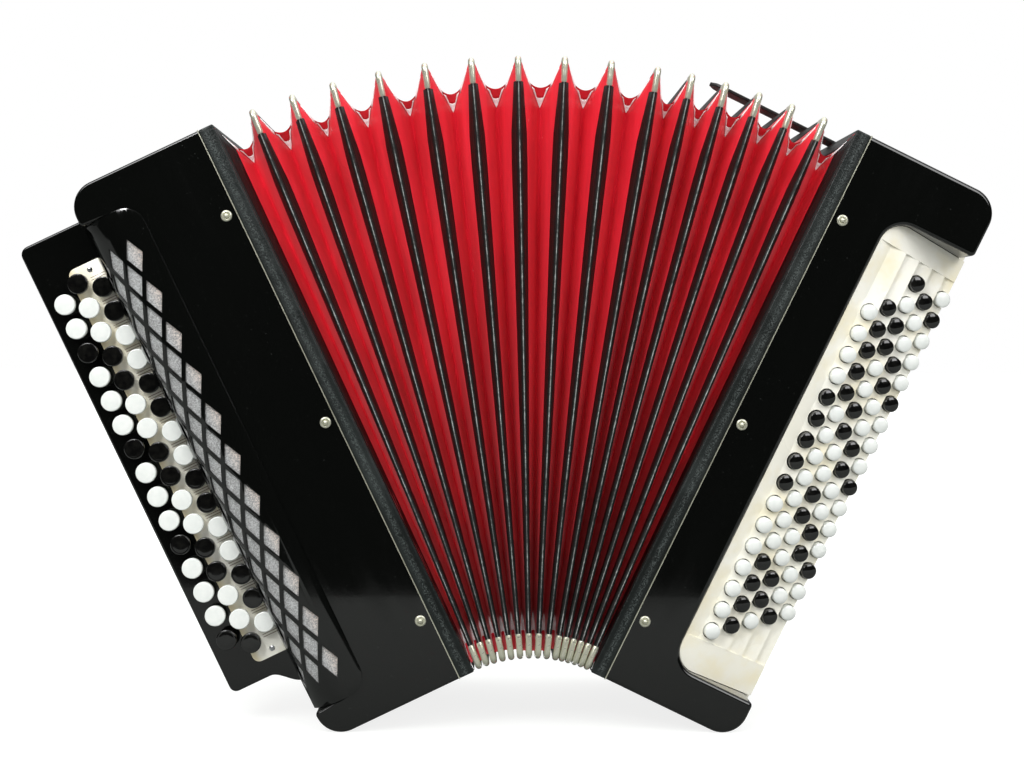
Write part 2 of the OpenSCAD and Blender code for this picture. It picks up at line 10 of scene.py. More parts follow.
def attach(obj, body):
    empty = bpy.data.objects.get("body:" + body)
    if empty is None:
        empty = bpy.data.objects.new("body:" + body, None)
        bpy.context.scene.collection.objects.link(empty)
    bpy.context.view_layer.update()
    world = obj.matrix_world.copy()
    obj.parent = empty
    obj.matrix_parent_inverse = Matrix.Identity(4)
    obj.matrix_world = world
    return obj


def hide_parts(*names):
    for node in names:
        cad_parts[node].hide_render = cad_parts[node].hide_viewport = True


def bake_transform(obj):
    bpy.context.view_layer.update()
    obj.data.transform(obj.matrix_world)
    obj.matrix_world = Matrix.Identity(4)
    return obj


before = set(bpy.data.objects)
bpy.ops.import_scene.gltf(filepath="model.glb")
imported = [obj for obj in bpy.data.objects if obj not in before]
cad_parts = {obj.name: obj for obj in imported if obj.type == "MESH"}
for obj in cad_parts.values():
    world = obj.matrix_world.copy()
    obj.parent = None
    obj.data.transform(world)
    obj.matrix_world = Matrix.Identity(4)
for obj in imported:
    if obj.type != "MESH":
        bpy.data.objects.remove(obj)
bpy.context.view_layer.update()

# A button accordion with its bellows fanned out. Lengths are in millimetres, as
# in the CAD source, and become metres as each piece is placed. A member's frame
# has z up along the member from the apex, y through the depth and x out of the
# member's plane; on the casings x runs outward, away from the bellows.

# ---------- Dimensions of the CAD model ----------

TREBLE_FOLD, MIDDLE_FOLD, BASS_FOLD = 3.27, 3.63, 2.71
FOLDS = 16
TREBLE_FOLDS, BASS_FOLDS = 3, 6

LOWER_END, RIDGE_TOP, UPPER_END = 92.5, 495.5, 497
HALF_DEPTH = 94  # of the bellows
FOLD_DEPTH = 27
GUARD_LEG = 17
TAPE_T = 3.6

FRONT, BACK = -95, 95
CASING_OUTER = 107
FRAME_W = 9.2
FRAME_BAR = 12
TONGUE_X = 21
WALL = 6
CORNER_R = 18
PIN_X = 16.5
PIN_HEIGHTS = (139, 286, 438)
PIN_REACH, BRACKET_REACH = 2.9, 11

GRILLE_BEND = (80, -67)
GRILLE_R, GRILLE_T = 30.5, 2.5
GRILLE_RIM_X = 66.5
GRILLE_SPAN = (114, 472)
GRILLE_TURN = radians(70)
LOZENGE_HALF = (6, 11.9)
LOZENGE_TOP, LOZENGE_PITCH = 440, 29.9
LOZENGE_ROWS, LOZENGE_CELLS = 5, 11
LOZENGE_START, LOZENGE_STEP = radians(4.8), radians(14.3)

BOARD_Y, BOARD_BACK_Y = -65, -25
BOARD_OUTER, BOARD_TOP, BOARD_CORNER_R = 154, 481, 6
OVERLAY_X, OVERLAY_T, OVERLAY_SPAN = 134, 1.2, (157, 453.5)
TREBLE_PITCH = 18
TREBLE_ROWS = (
    (143.2, 433.2, "WWBWWWBWWWBWWWB"),
    (129.2, 442.2, "BWWBBWWBBWWBBWWB"),
    (114.8, 433.2, "BBWWBBWWBBWWBBW"),
)
BUTTON_R, BUTTON_T, BUTTON_GAP = 7, 4.2, 5.3
STEM_R, STEM_END = 2, -60

RECESS_X, RECESS_SPAN, RECESS_R = 45, (121, 455), 17
BOARD_SLOPE, TREAD_TILT = radians(26), radians(14)
TREAD_PITCH = 12.7
TREAD_L = TREAD_PITCH * cos(BOARD_SLOPE - TREAD_TILT)
FIRST_TREAD = (55.2, -86.5)
RECESS_BACK_Y = -56
BASS_PITCH = 16
BASS_ROWS = (
    (392, "WWWWBBBBBWWWWWWW"),
    (400.8, "BBBBBWWWWWWWBBBB"),
    (408.8, "WBBWWBBWWBBWWBBW"),
    (416.7, "BWWBBWWBBWWBBWWB"),
    (424.3, "WBWWWBWWWBWWWBWW"),
)
AIR_ROW = 2
BASS_BUTTON_R = 5.3
COVER_T = 4
STRAP_Y, STRAP_W, STRAP_RISE = 59, 42, 11
WHEEL_X = 70


def fold_angle(i):
    if i <= TREBLE_FOLDS:
        return TREBLE_FOLD
    return MIDDLE_FOLD if i <= FOLDS - BASS_FOLDS else BASS_FOLD


def fan_angle(i):
    """Lean of member i to the right, in radians: 0 is the treble casing, 16 the bass casing."""
    total = sum(fold_angle(k) for k in range(1, FOLDS + 1))
    return radians(sum(fold_angle(k) for k in range(1, i + 1)) - total / 2)


def apex():
    """The line where the members' planes meet, in millimetres in the row frame."""
    lean = fan_angle(FOLDS)
    board = BOARD_CORNER_R, BOARD_OUTER - BOARD_CORNER_R, BOARD_TOP - BOARD_CORNER_R
    treble_reach = board[2] * sin(lean) + board[1] * cos(lean) + board[0]
    bass_reach = (UPPER_END - CORNER_R) * sin(lean) + (CASING_OUTER - CORNER_R) * cos(lean) + CORNER_R
    low = CORNER_R - (LOWER_END + CORNER_R) * cos(lean) + (CASING_OUTER - CORNER_R) * sin(lean)
    return Vector(((treble_reach - bass_reach) / 2, (PIN_REACH - BRACKET_REACH) / 2, low))


APEX = apex()
Place = namedtuple("Place", "lean mirrored body")


def member_body(i):
    return {0: "treble", FOLDS: "bass"}.get(i, f"ridge_{i:02d}")


def member(i):
    return Place(fan_angle(i), i == 0, member_body(i))


TREBLE_SIDE = member(0)
BASS_SIDE = member(FOLDS)


def on_member(lean, x, y, z):
    """A point of a member's frame, in metres in the row frame."""
    return 0.001 * (APEX + Vector((z * sin(lean) + x * cos(lean), y, z * cos(lean) - x * sin(lean))))


# ---------- Mesh helpers ----------


def arc(centre, r, start, end, steps=8):
    """Points round centre, from one angle to another in degrees."""
    turns = (radians(start + (end - start) * k / steps) for k in range(steps + 1))
    return [(centre[0] + r * cos(a), centre[1] + r * sin(a)) for a in turns]


def prism(outline, low, high, axis):
    """A closed solid: the outline, in the other two axes, drawn out along axis."""
    bm = bmesh.new()
    place = {
        "x": lambda p, h: (h, p[0], p[1]),
        "y": lambda p, h: (p[0], h, p[1]),
        "z": lambda p, h: (p[0], p[1], h),
    }[axis]
    ends = [[bm.verts.new(place(p, h)) for p in outline] for h in (low, high)]
    bm.faces.new(ends[0])
    bm.faces.new(ends[1])
    for k in range(len(outline)):
        bm.faces.new((ends[0][k - 1], ends[0][k], ends[1][k], ends[1][k - 1]))
    bmesh.ops.recalc_face_normals(bm, faces=bm.faces)
    return bm


def block(low, high):
    (x0, y0, z0), (x1, y1, z1) = low, high
    return prism([(x0, y0), (x1, y0), (x1, y1), (x0, y1)], z0, z1, "z")


def bevel(bm, width, segments=3, min_angle=40, where=None):
    """Rounds the edges that turn by more than min_angle, or those of them that where() picks."""
    edges = [
        e for e in bm.edges
        if len(e.link_faces) == 2 and e.calc_face_angle() > radians(min_angle)
        and (where is None or where((e.verts[0].co + e.verts[1].co) / 2))
    ]
    bmesh.ops.bevel(
        bm, geom=edges, offset=width, segments=segments, profile=0.5, affect="EDGES", clamp_overlap=True
    )
    return bm


def lathe(profile, steps=32):
    """Turns a profile of (radius, height) round z. A radius of 0 closes an end."""
    bm = bmesh.new()
    rings = []
    for r, h in profile:
        if r == 0:
            rings.append([bm.verts.new((0, 0, h))] * steps)
        else:
            turns = (2 * pi * k / steps for k in range(steps))
            rings.append([bm.verts.new((r * cos(a), r * sin(a), h)) for a in turns])
    for low, high in zip(rings, rings[1:]):
        for k in range(steps):
            corners = (low[k - 1], low[k], high[k], high[k - 1])
            bm.faces.new(list(dict.fromkeys(corners)))
    bmesh.ops.recalc_face_normals(bm, faces=bm.faces)
    return bm


def joined(*parts):
    """One mesh from several, which are used up."""
    whole = bmesh.new()
    for part in parts:
        add_copy(whole, part, Matrix.Identity(4))
        part.free()
    return whole


def add_copy(whole, part, at):
    part.verts.index_update()
    made = [whole.verts.new(at @ v.co) for v in part.verts]
    for f in part.faces:
        whole.faces.new([made[v.index] for v in f.verts])


def repeated(part, places):
    """One mesh with a copy of part at each matrix. The part is used up."""
    whole = bmesh.new()
    for at in places:
        add_copy(whole, part, at)
    part.free()
    return whole


def combined(bm, tool, operation="DIFFERENCE"):
    """bm with tool cut out of it or added to it. Both are used up."""
    objects = []
    for part in (bm, tool):
        mesh = bpy.data.meshes.new("temporary")
        part.to_mesh(mesh)
        part.free()
        objects.append(bpy.data.objects.new("temporary", mesh))
        bpy.context.scene.collection.objects.link(objects[-1])
    cut = objects[0].modifiers.new("cut", "BOOLEAN")
    cut.operation = operation
    cut.object = objects[1]
    cut.solver = "EXACT"
    result = bmesh.new()
    result.from_object(objects[0], bpy.context.evaluated_depsgraph_get())
    for o in objects:
        bpy.data.meshes.remove(o.data)
    return result


def grid(bm, rows):
    """Faces between neighbouring rows of points."""
    made = [[bm.verts.new(p) for p in row] for row in rows]
    for low, high in zip(made, made[1:]):
        for k in range(1, len(low)):
            bm.faces.new((low[k - 1], low[k], high[k], high[k - 1]))
    return bm


def swept(rows):
    """A closed solid through rows of points, each a closed loop, with flat ends."""
    bm = bmesh.new()
    made = [[bm.verts.new(p) for p in row] for row in rows]
    for low, high in zip(made, made[1:]):
        for k in range(len(low)):
            bm.faces.new((low[k - 1], low[k], high[k], high[k - 1]))
    bm.faces.new(made[0])
    bm.faces.new(made[-1])
    bmesh.ops.recalc_face_normals(bm, faces=bm.faces)
    return bm


Finish = namedtuple("Finish", "material slot")


def make_object(name, bm, material, sharp):
    mesh = bpy.data.meshes.new(name)
    bm.to_mesh(mesh)
    bm.free()
    mesh.polygons.foreach_set("use_smooth", [True] * len(mesh.polygons))
    mesh.set_sharp_from_angle(angle=radians(sharp))
    obj = bpy.data.objects.new(name, mesh)
    bpy.context.scene.collection.objects.link(obj)
    mesh.materials.append(material)
    return obj


def piece(name, bm, place, finish, replaces=(), body=None, sharp=42, even_normals=False):
    """Makes a mesh, drawn in a member's frame, a piece that rides on that member or on another body."""
    if place.mirrored:
        bm.transform(Matrix.Scale(-1, 4, (1, 0, 0)))
        bmesh.ops.reverse_faces(bm, faces=bm.faces)
    bm.transform(Matrix.Scale(0.001, 4))
    obj = make_object(name, bm, finish.material, sharp)
    obj.matrix_world = Matrix.Translation(0.001 * APEX) @ Matrix.Rotation(place.lean, 4, "Y")
    if even_normals:
        flat = obj.modifiers.new("even normals", "WEIGHTED_NORMAL")
        flat.keep_sharp = True
        flat.weight = 90
    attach(obj, body or place.body)
    if replaces:
        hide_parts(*replaces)


# ---------- Materials ----------


class Look:
    """A material's nodes. Textures are in object space, in metres."""

    def __init__(self, name, colour, roughness, **sockets):
        self.material = bpy.data.materials.new(name)
        self.material.use_nodes = True
        self.nodes = self.material.node_tree.nodes
        self.links = self.material.node_tree.links
        self.bsdf = self.nodes["Principled BSDF"]
        self.place = self.nodes.new("ShaderNodeTexCoord").outputs["Object"]
        self.relief = None
        self.set("Base Color", (*colour, 1))
        self.set("Roughness", roughness)
        for socket, value in sockets.items():
            self.set(socket.replace("_", " ").title().replace("Ior", "IOR"), value)

    def set(self, socket, value):
        if isinstance(value, bpy.types.NodeSocket):
            self.links.new(value, self.bsdf.inputs[socket])
        else:
            self.bsdf.inputs[socket].default_value = value

    def node(self, kind, inputs, output=0, **settings):
        made = self.nodes.new("ShaderNode" + kind)
        for key, value in settings.items():
            setattr(made, key, value)
        for key, value in inputs.items():
            if isinstance(value, bpy.types.NodeSocket):
                self.links.new(value, made.inputs[key])
            else:
                made.inputs[key].default_value = value
        return made.outputs[output]

    def noise(self, scale, detail=3, rough=0.55, stretch=None):
        place = self.node("Mapping", {"Vector": self.place, "Scale": stretch}) if stretch else self.place
        return self.node("TexNoise", {"Vector": place, "Scale": scale, "Detail": detail, "Roughness": rough})

    def cells(self, scale, output="Distance"):
        return self.node("TexVoronoi", {"Vector": self.place, "Scale": scale}, output)

    def axis(self, name, offset=0.0):
        """How far a point is from the object's middle plane, plus offset."""
        along = self.node("SeparateXYZ", {0: self.place}, name)
        return self.maths("ADD", self.maths("ABSOLUTE", along), offset)

    def span(self, value, low, high, to_low=0.0, to_high=1.0):
        return self.node("MapRange", {0: value, 1: low, 2: high, 3: to_low, 4: to_high})

    def maths(self, operation, a, b=0.0):
        return self.node("Math", {0: a, 1: b}, operation=operation)

    def mix(self, share, a, b):
        a, b = ((*c, 1) if isinstance(c, tuple) and len(c) == 3 else c for c in (a, b))
        return self.node("Mix", {0: share, 6: a, 7: b}, 2, data_type="RGBA")

    def paint(self, value, low, high, first, second):
        """Colours the surface, from the first tone to the second as value goes from low to high."""
        self.set("Base Color", self.mix(self.span(value, low, high), first, second))

    def polish(self, value, low, high, smooth, rough):
        self.set("Roughness", self.span(value, low, high, smooth, rough))

    def emboss(self, height, distance, strength=1.0):
        """Adds relief, over any that there is already."""
        inputs = {"Height": height, "Distance": distance, "Strength": strength}
        if self.relief:
            inputs["Normal"] = self.relief
        self.relief = self.node("Bump", inputs)
        self.set("Normal", self.relief)


def black_celluloid():
    look = Look("black_celluloid", (0.002, 0.0023, 0.002), 0.1, coat_weight=0.3, coat_roughness=0.03)
    look.emboss(look.noise(9, 2), 0.0012, 0.25)
    look.emboss(look.noise(700, 2), 0.00002, 0.35)
    look.polish(look.noise(60, 4, 0.7, (1, 1, 0.12)), 0.35, 0.75, 0.05, 0.14)
    dust = look.noise(900, 1)
    look.paint(dust, 0.76, 0.82, (0.002, 0.0023, 0.002), (0.03, 0.032, 0.03))
    return look.material


def leatherette():
    """Grained black leathercloth, with a painted highlight: a soft pale streak along the middle of the
    bellows frame.
    """
    look = Look("black_leatherette", (0.02, 0.022, 0.02), 0.42, specular_ior_level=0.3)
    streaks = look.noise(45, 5, 0.65, (1, 1, 0.18))
    patches = look.noise(18, 3)
    tone = look.mix(look.span(streaks, 0.35, 0.75), (0.003, 0.0045, 0.004), (0.016, 0.021, 0.02))
    worn = look.mix(look.span(patches, 0.55, 0.75, 0, 0.5), tone, (0.03, 0.038, 0.036))
    # A pale streak painted along the middle of the frame's front face, broken up by noise, is a painted satin
    # highlight.
    from_middle = look.maths("ABSOLUTE", look.axis("X", -0.0045))
    sparkle = look.span(look.noise(1300, 2), 0.45, 0.62)
    painted_highlight = look.maths("MULTIPLY", look.span(from_middle, 0.0008, 0.0028, 0.4, 0), sparkle)
    look.set("Base Color", look.mix(painted_highlight, worn, (0.12, 0.14, 0.135)))
    look.emboss(look.cells(900), 0.00018, 0.8)
    look.emboss(look.noise(160, 4), 0.0005, 0.7)
    look.polish(patches, 0.3, 0.7, 0.32, 0.5)
    return look.material


def tape_cloth(name, crest):
    """Black bookcloth; a crest is worn pale along its middle."""
    look = Look(name, (0.008, 0.008, 0.008), 0.5, specular_ior_level=0.22)
    threads = look.noise(1100, 2, 0.6)
    tone = look.mix(look.span(threads, 0.3, 0.75), (0.003, 0.003, 0.003), (0.014, 0.015, 0.014))
    if crest:
        ragged = look.span(look.noise(260, 4, 0.7), 0.3, 0.7, -0.0002, 0.0002)
        line = look.span(look.axis("X", ragged), 0.0001, 0.00034, 1, 0)
        gaps = look.span(look.noise(60, 4, 0.7), 0.35, 0.6, 0.15, 1)
        tone = look.mix(look.maths("MULTIPLY", line, gaps), tone, (0.3, 0.32, 0.31))
    look.set("Base Color", tone)
    look.emboss(threads, 0.0002, 0.7)
    return look.material


def red_leathercloth():
    look = Look("red_leathercloth", (0.8, 0.01, 0.022), 0.36, sheen_weight=0.08)
    streaks = look.noise(70, 4, 0.6, (1, 1, 0.12))
    deep = look.mix(look.span(streaks, 0.3, 0.72), (0.62, 0.005, 0.018), (0.84, 0.016, 0.04))
    look.paint(look.noise(420, 3, 0.7, (1, 1, 0.35)), 0.735, 0.78, deep, (0.9, 0.5, 0.5))
    look.emboss(look.cells(1500), 0.00008, 0.5)
    look.emboss(look.noise(50, 4, 0.6, (1, 1, 0.2)), 0.0005, 0.3)
    look.polish(streaks, 0.3, 0.7, 0.3, 0.45)
    return look.material


def kid_leather():
    look = Look("white_kid", (0.8, 0.8, 0.8), 0.7)
    stains = look.span(look.noise(330, 4, 0.65), 0.56, 0.72, 0, 0.7)
    look.set("Base Color", look.mix(stains, (0.96, 0.97, 0.97), (0.92, 0.76, 0.76)))
    look.emboss(look.noise(500, 4, 0.6), 0.0004, 0.6)
    return look.material


def nickel():
    look = Look("nickel", (0.66, 0.65, 0.57), 0.28, metallic=0.7)
    brushed = look.noise(300, 3, 0.6)
    look.polish(brushed, 0.3, 0.7, 0.26, 0.36)
    tarnish = look.noise(120, 4)
    look.paint(tarnish, 0.5, 0.75, (0.66, 0.66, 0.53), (0.55, 0.55, 0.42))
    look.emboss(brushed, 0.00001, 0.1)
    return look.material


def ivory(name, lines=False):
    """Ivory celluloid, yellowed in places; the treble overlay has pairs of thin brown lines."""
    look = Look(name, (0.82, 0.79, 0.68), 0.22, coat_weight=0.3, coat_roughness=0.08)
    stains = look.span(look.noise(28, 4, 0.6), 0.45, 0.72)
    clouds = look.noise(9, 3)
    tone = look.mix(look.span(clouds, 0.3, 0.7), (0.95, 0.935, 0.86), (0.91, 0.885, 0.77))
    tone = look.mix(stains, tone, (0.87, 0.8, 0.58))
    if lines:
        height = look.node("SeparateXYZ", {0: look.place}, "Z")
        between = (TREBLE_ROWS[2][1] + TREBLE_PITCH / 2) * 0.001
        folded = look.maths("PINGPONG", look.maths("ADD", height, -between), TREBLE_PITCH * 0.0005)
        from_line = look.maths("ABSOLUTE", look.maths("ADD", folded, -0.0009))
        mark = look.maths("MULTIPLY", look.span(from_line, 0.00012, 0.0003, 1, 0),
                          look.span(look.axis("X"), 0.1205, 0.1215, 1, 0))
        tone = look.mix(mark, tone, (0.2, 0.12, 0.05))
        tone = look.mix(look.span(look.axis("X"), 0.128, 0.132, 0, 0.7), tone, (0.66, 0.56, 0.32))
    look.set("Base Color", tone)
    look.polish(clouds, 0.3, 0.7, 0.16, 0.3)
    look.emboss(look.noise(90, 3), 0.00015, 0.25)
    return look.material


def white_button():
    look = Look("pearl_white", (0.86, 0.87, 0.86), 0.16, coat_weight=0.4, coat_roughness=0.05)
    look.paint(look.noise(160, 4, 0.6), 0.35, 0.7, (0.77, 0.79, 0.76), (0.7, 0.73, 0.7))
    look.emboss(look.noise(400, 2), 0.00004, 0.3)
    return look.material


def black_button():
    look = Look("gloss_black", (0.008, 0.008, 0.008), 0.1, coat_weight=0.5, coat_roughness=0.04)
    look.paint(look.noise(240, 3), 0.4, 0.7, (0.002, 0.002, 0.002), (0.007, 0.007, 0.006))
    look.emboss(look.noise(500, 2), 0.00003, 0.3)
    return look.material


def grille_cloth():
    """Metallic cloth, warmer beside the grille's rim."""
    look = Look("grille_cloth", (0.5, 0.48, 0.46), 0.35, metallic=0.25)
    flecks = look.node("SeparateColor", {0: look.cells(1500, "Color")})
    across = look.node("SeparateXYZ", {0: look.place}, "X")
    tone = look.mix(look.span(across, -0.0855, -0.0775), (0.62, 0.63, 0.63), (0.78, 0.66, 0.58))
    look.paint(flecks, 0.1, 0.9, (0.3, 0.3, 0.3), tone)
    look.emboss(look.node("TexWave", {"Vector": look.place, "Scale": 380.0, "Distortion": 1.5}), 0.0002, 0.5)
    look.emboss(flecks, 0.0003, 0.8)
    return look.material


def bare_wood():
    look = Look("spruce", (0.62, 0.44, 0.26), 0.55)
    grain = look.noise(120, 5, 0.6, (1, 1, 0.05))
    look.paint(grain, 0.3, 0.7, (0.68, 0.5, 0.3), (0.45, 0.29, 0.15))
    look.emboss(grain, 0.0002, 0.4)
    return look.material


def bare_steel():
    look = Look("steel", (0.55, 0.56, 0.58), 0.3, metallic=1.0)
    brushed = look.noise(500, 3, 0.6, (1, 1, 0.1))
    look.polish(brushed, 0.3, 0.7, 0.22, 0.42)
    look.emboss(brushed, 0.00005, 0.5)
    return look.material


def strap_leather():
    look = Look("strap_leather", (0.018, 0.016, 0.015), 0.42)
    creases = look.noise(70, 4, 0.6)
    look.paint(creases, 0.4, 0.75, (0.004, 0.004, 0.004), (0.02, 0.019, 0.017))
    look.emboss(look.cells(1200), 0.00015, 0.7)
    look.emboss(creases, 0.0005, 0.4)
    return look.material


def thread():
    look = Look("waxed_thread", (0.3, 0.28, 0.24), 0.6)
    twist = look.noise(2500, 2)
    look.paint(twist, 0.3, 0.7, (0.2, 0.18, 0.15), (0.42, 0.4, 0.35))
    look.emboss(twist, 0.0001, 0.6)
    return look.material


CELLULOID = Finish(black_celluloid(), "black_celluloid")
LEATHERETTE = Finish(leatherette(), "black_leatherette")
TAPE = Finish(tape_cloth("tape", False), "black_tape")
CREST = Finish(tape_cloth("tape_crest", True), "black_tape")
RED = Finish(red_leathercloth(), "red_leathercloth")
KID = Finish(kid_leather(), "black_tape")
NICKEL = Finish(nickel(), "nickel")
IVORY = Finish(ivory("ivory"), "ivory_plastic")
LINED_IVORY = Finish(ivory("lined_ivory", True), "ivory_plastic")
WHITE = Finish(white_button(), "buttons")
BLACK = Finish(black_button(), "black_button")
CLOTH = Finish(grille_cloth(), "mesh_cloth")
WOOD = Finish(bare_wood(), "spruce")
STEEL = Finish(bare_steel(), "steel")
LEATHER = Finish(strap_leather(), "black_leather")
THREAD = Finish(thread(), "black_leather")

# ---------- Bellows ----------

PANEL_START = (1.3, 1.2)  # out of the ridge's plane, and in from the ridge
VALLEY_ROUND = 0.1  # how softly the two sides of a fold meet, as a share of a side
TAPE_DEPTH, FRAME_TAPE_DEPTH = 12, 15.5  # how far down a fold its tape goes
TAPE_LIFT, GUSSET_LIFT = 0.45, 0.5  # over the panel
ALONG = (0, 0.02, 0.05, 0.09, 0.15, 0.25, 0.375, 0.5, 0.625, 0.75, 0.85, 0.91, 0.95, 0.98, 1)
ACROSS = (-1, -0.9, -0.75, -0.55, -0.38, -0.25, -0.15, -0.08, 0, 0.08, 0.15, 0.25, 0.38, 0.55, 0.75, 0.9, 1)
GUSSET_TIP = 31  # how far down a fold's valley an upper gusset ends
LOW_GUSSET_TIP = 28
GUSSET_DEPTH = 17.5  # where an upper gusset crosses the corner of its fold
LOW_GUSSET_DEPTH = 3.5
GUSSET_SAG = 2.6  # how far its middle hangs in


def soft(c):
    return sqrt(c * c + VALLEY_ROUND * VALLEY_ROUND)


def depth_at(c):
    """How far in from the ridges a fold is at c, which goes from -1 at one ridge to 1 at the next."""
    return PANEL_START[1] + (FOLD_DEPTH - PANEL_START[1]) * (soft(1) - soft(c)) / (soft(1) - soft(0))


def side_at(depth):
    """The c, from 0 to 1, at which a fold has that depth."""
    share = (depth - PANEL_START[1]) / (FOLD_DEPTH - PANEL_START[1])
    height = soft(1) - share * (soft(1) - soft(0))
    return sqrt(max(0, height * height - VALLEY_ROUND * VALLEY_ROUND))


def fold_point(i, c, along, lift, face):
    """A point on fold i: c across it, lifted out of it, on its front, back, top or lower face."""
    half = radians(fold_angle(i)) / 2
    lean = fan_angle(i - 1) + half * (1 + c)
    x = -PANEL_START[0] * c * abs(c) ** 3
    depth = depth_at(c) - lift
    if face == "front":
        return on_member(lean, x, depth - HALF_DEPTH, along)
    if face == "back":
        return on_member(lean, x, HALF_DEPTH - depth, along)
    if face == "top":
        return on_member(lean, x, along, RIDGE_TOP - depth)
    return on_member(lean, x, along, LOWER_END + depth)


def face_span(face, margin):
    if face in ("front", "back"):
        return LOWER_END + margin, RIDGE_TOP - margin
    return margin - HALF_DEPTH, HALF_DEPTH - margin


OUTWARD = {"front": (0, -1, 0), "back": (0, 1, 0), "top": (0, 0, 1), "lower": (0, 0, -1)}


def facing(bm, face):
    """Turns a sheet's faces to look out of that face of the bellows."""
    bm.normal_update()
    total = sum((f.normal * f.calc_area() for f in bm.faces), Vector())
    if total.dot(Vector(OUTWARD[face])) < 0:
        bmesh.ops.reverse_faces(bm, faces=bm.faces)
    return bm


def fold_sheet(i, face, sides, lift, margin, narrowing=None):
    """A sheet over fold i on one face, through the given places across it. It may narrow near its top."""
    upright = face in ("front", "back")
    rows = []
    for c in sides:
        low, high = face_span(face, margin(c))
        row = []
        for share in ALONG:
            reach = (high - low) * (1 - share if upright else min(share, 1 - share))
            across = narrowing(c, reach) if narrowing else c
            row.append(fold_point(i, across, low + (high - low) * share, lift, face))
        rows.append(row)
    return facing(grid(bmesh.new(), rows), face)


def bendable(name, bm, finish, thickness, replaces=()):
    """A sheet of a fold, drawn between the two members beside it and made solid to the given thickness."""
    obj = make_object(name, bm, finish.material, 50)
    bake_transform(obj)
    solid = obj.modifiers.new("thickness", "SOLIDIFY")
    solid.thickness = thickness * 0.001
    solid.offset = -1
    if replaces:
        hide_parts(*replaces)


def fold_panels(i):
    """The red folded panel: four faces that meet at the corners."""
    parts = [fold_sheet(i, face, ACROSS, 0, depth_at) for face in OUTWARD]
    bm = joined(*parts)
    bmesh.ops.remove_doubles(bm, verts=bm.verts, dist=0.00002)
    bendable(f"bellows_fold_{i:02d}", bm, RED, 0.9, ("bellows_panels",))


def tapered(c, reach):
    """Draws a place across a fold in towards the ridge, the more the nearer it is to the tape's end."""
    side = 1 if c > 0 else -1
    return side - (side - c) * min(1, 0.45 + reach / 70)


def fold_tape(i):
    """The black tape down both sides of a fold, from one corner guard to the next."""
    rng = random.Random(i)
    parts = []
    for face in OUTWARD:
        for side in (-1, 1):
            by_frame = (side < 0 and i == 1) or (side > 0 and i == FOLDS)
            last = side_at(FRAME_TAPE_DEPTH if by_frame else TAPE_DEPTH)
            sides = [side * (1 - (1 - last) * k / 3) for k in range(4)]
            margin = (1 if by_frame else GUARD_LEG - 0.5) + rng.uniform(0, 0.8)
            if by_frame:
                parts.append(fold_sheet(i, face, sides, TAPE_LIFT, lambda c: max(margin, depth_at(c))))
            else:
                narrowing = None if face == "lower" else tapered
                parts.append(fold_sheet(i, face, sides, TAPE_LIFT, lambda c: margin, narrowing))
    bendable(f"fold_tape_{i:02d}", joined(*parts), TAPE, 0.4)


def gusset_point(i, c, dy, dz, ends):
    """A point of a corner patch: dy in from the front or back, dz in from the top or lower end."""
    half = radians(fold_angle(i)) / 2
    front, top = ends
    y = (dy - HALF_DEPTH) * front
    z = RIDGE_TOP - dz if top else LOWER_END + dz
    return on_member(fan_angle(i - 1) + half * (1 + c), -PANEL_START[0] * c * abs(c) ** 3, y, z)


def gusset_ear(i, side, crossing, ends):
    """A thin ear of kid leather that runs up one side of a fold from its gusset."""
    rows = []
    for k in range(6):
        inner = crossing + 0.4 - 0.6 * crossing * k / 5
        w = 1.9 * (1 - k / 5) + 0.35
        outer, c = inner - GUSSET_LIFT, side * side_at(inner)
        edge = (outer, inner + w), (outer, outer), (inner + w, outer)
        rows.append([gusset_point(i, c, dy, dz, ends) for dy, dz in edge])
    return rows


def gusset(i, ends):
    """The patch that bridges the corner of a fold: white kid leather round a red middle. Makes both parts."""
    front, top = ends
    rng = random.Random(100 + i)
    crossing = (GUSSET_DEPTH if top else LOW_GUSSET_DEPTH) + rng.uniform(-1.2, 1.2)
    reach = (GUSSET_TIP if top else LOW_GUSSET_TIP) + rng.uniform(-1.5, 1.5) - crossing
    side = side_at(crossing)
    white, red = bmesh.new(), bmesh.new()

    def point(p, q):
        edge = side * (1 - abs(p))
        lift = GUSSET_LIFT - GUSSET_SAG * (1 - q * q) * (1 - abs(p))
        shallow, deep = depth_at(edge) - lift, crossing + reach * abs(p) - lift
        dy, dz = (shallow, deep) if p < 0 else (deep, shallow)
        return gusset_point(i, edge * q, dy, dz, ends)

    steps, widths = 8, 6
    for k in range(-steps, steps):
        for m in range(-widths, widths):
            p, q = abs(k + 0.5) / steps, abs(m + 0.5) / widths
            kid = p > 0.5 or (q > 0.6 and p > 0.12)
            rows = [[point(a / steps, b / widths) for a in (k, k + 1)] for b in (m, m + 1)]
            grid(white if kid else red, rows)
    for s in (-1, 1):
        grid(white, gusset_ear(i, s, crossing, ends))
    outward = Vector((0, -front, 1 if top else -1))
    for bm in (white, red):
        bmesh.ops.remove_doubles(bm, verts=bm.verts, dist=0.00001)
        bmesh.ops.recalc_face_normals(bm, faces=bm.faces)
        bm.normal_update()
        for f in bm.faces:
            if f.normal.dot(outward) < 0:
                f.normal_flip()
    return white, red


def fold_gussets(i):
    corners = [gusset(i, (front, top)) for front in (1, -1) for top in (1, 0)]
    white, red = (joined(*parts) for parts in zip(*corners))
    bendable(f"gussets_{i:02d}", white, KID, 0.45)
    bendable(f"gusset_middles_{i:02d}", red, RED, 0.45)


def crest_bar(low, high, at_depth, axis):
    """One straight stretch of a taped ridge, round along its outer edge."""
    r = TAPE_T / 2 - 0.1
    outline = [(r - 0.15, 5.5), (0.15 - r, 5.5), *arc((0, r), r, 180, 360, 8)]
    return prism([(x, at_depth(depth)) for x, depth in outline], low, high, axis)


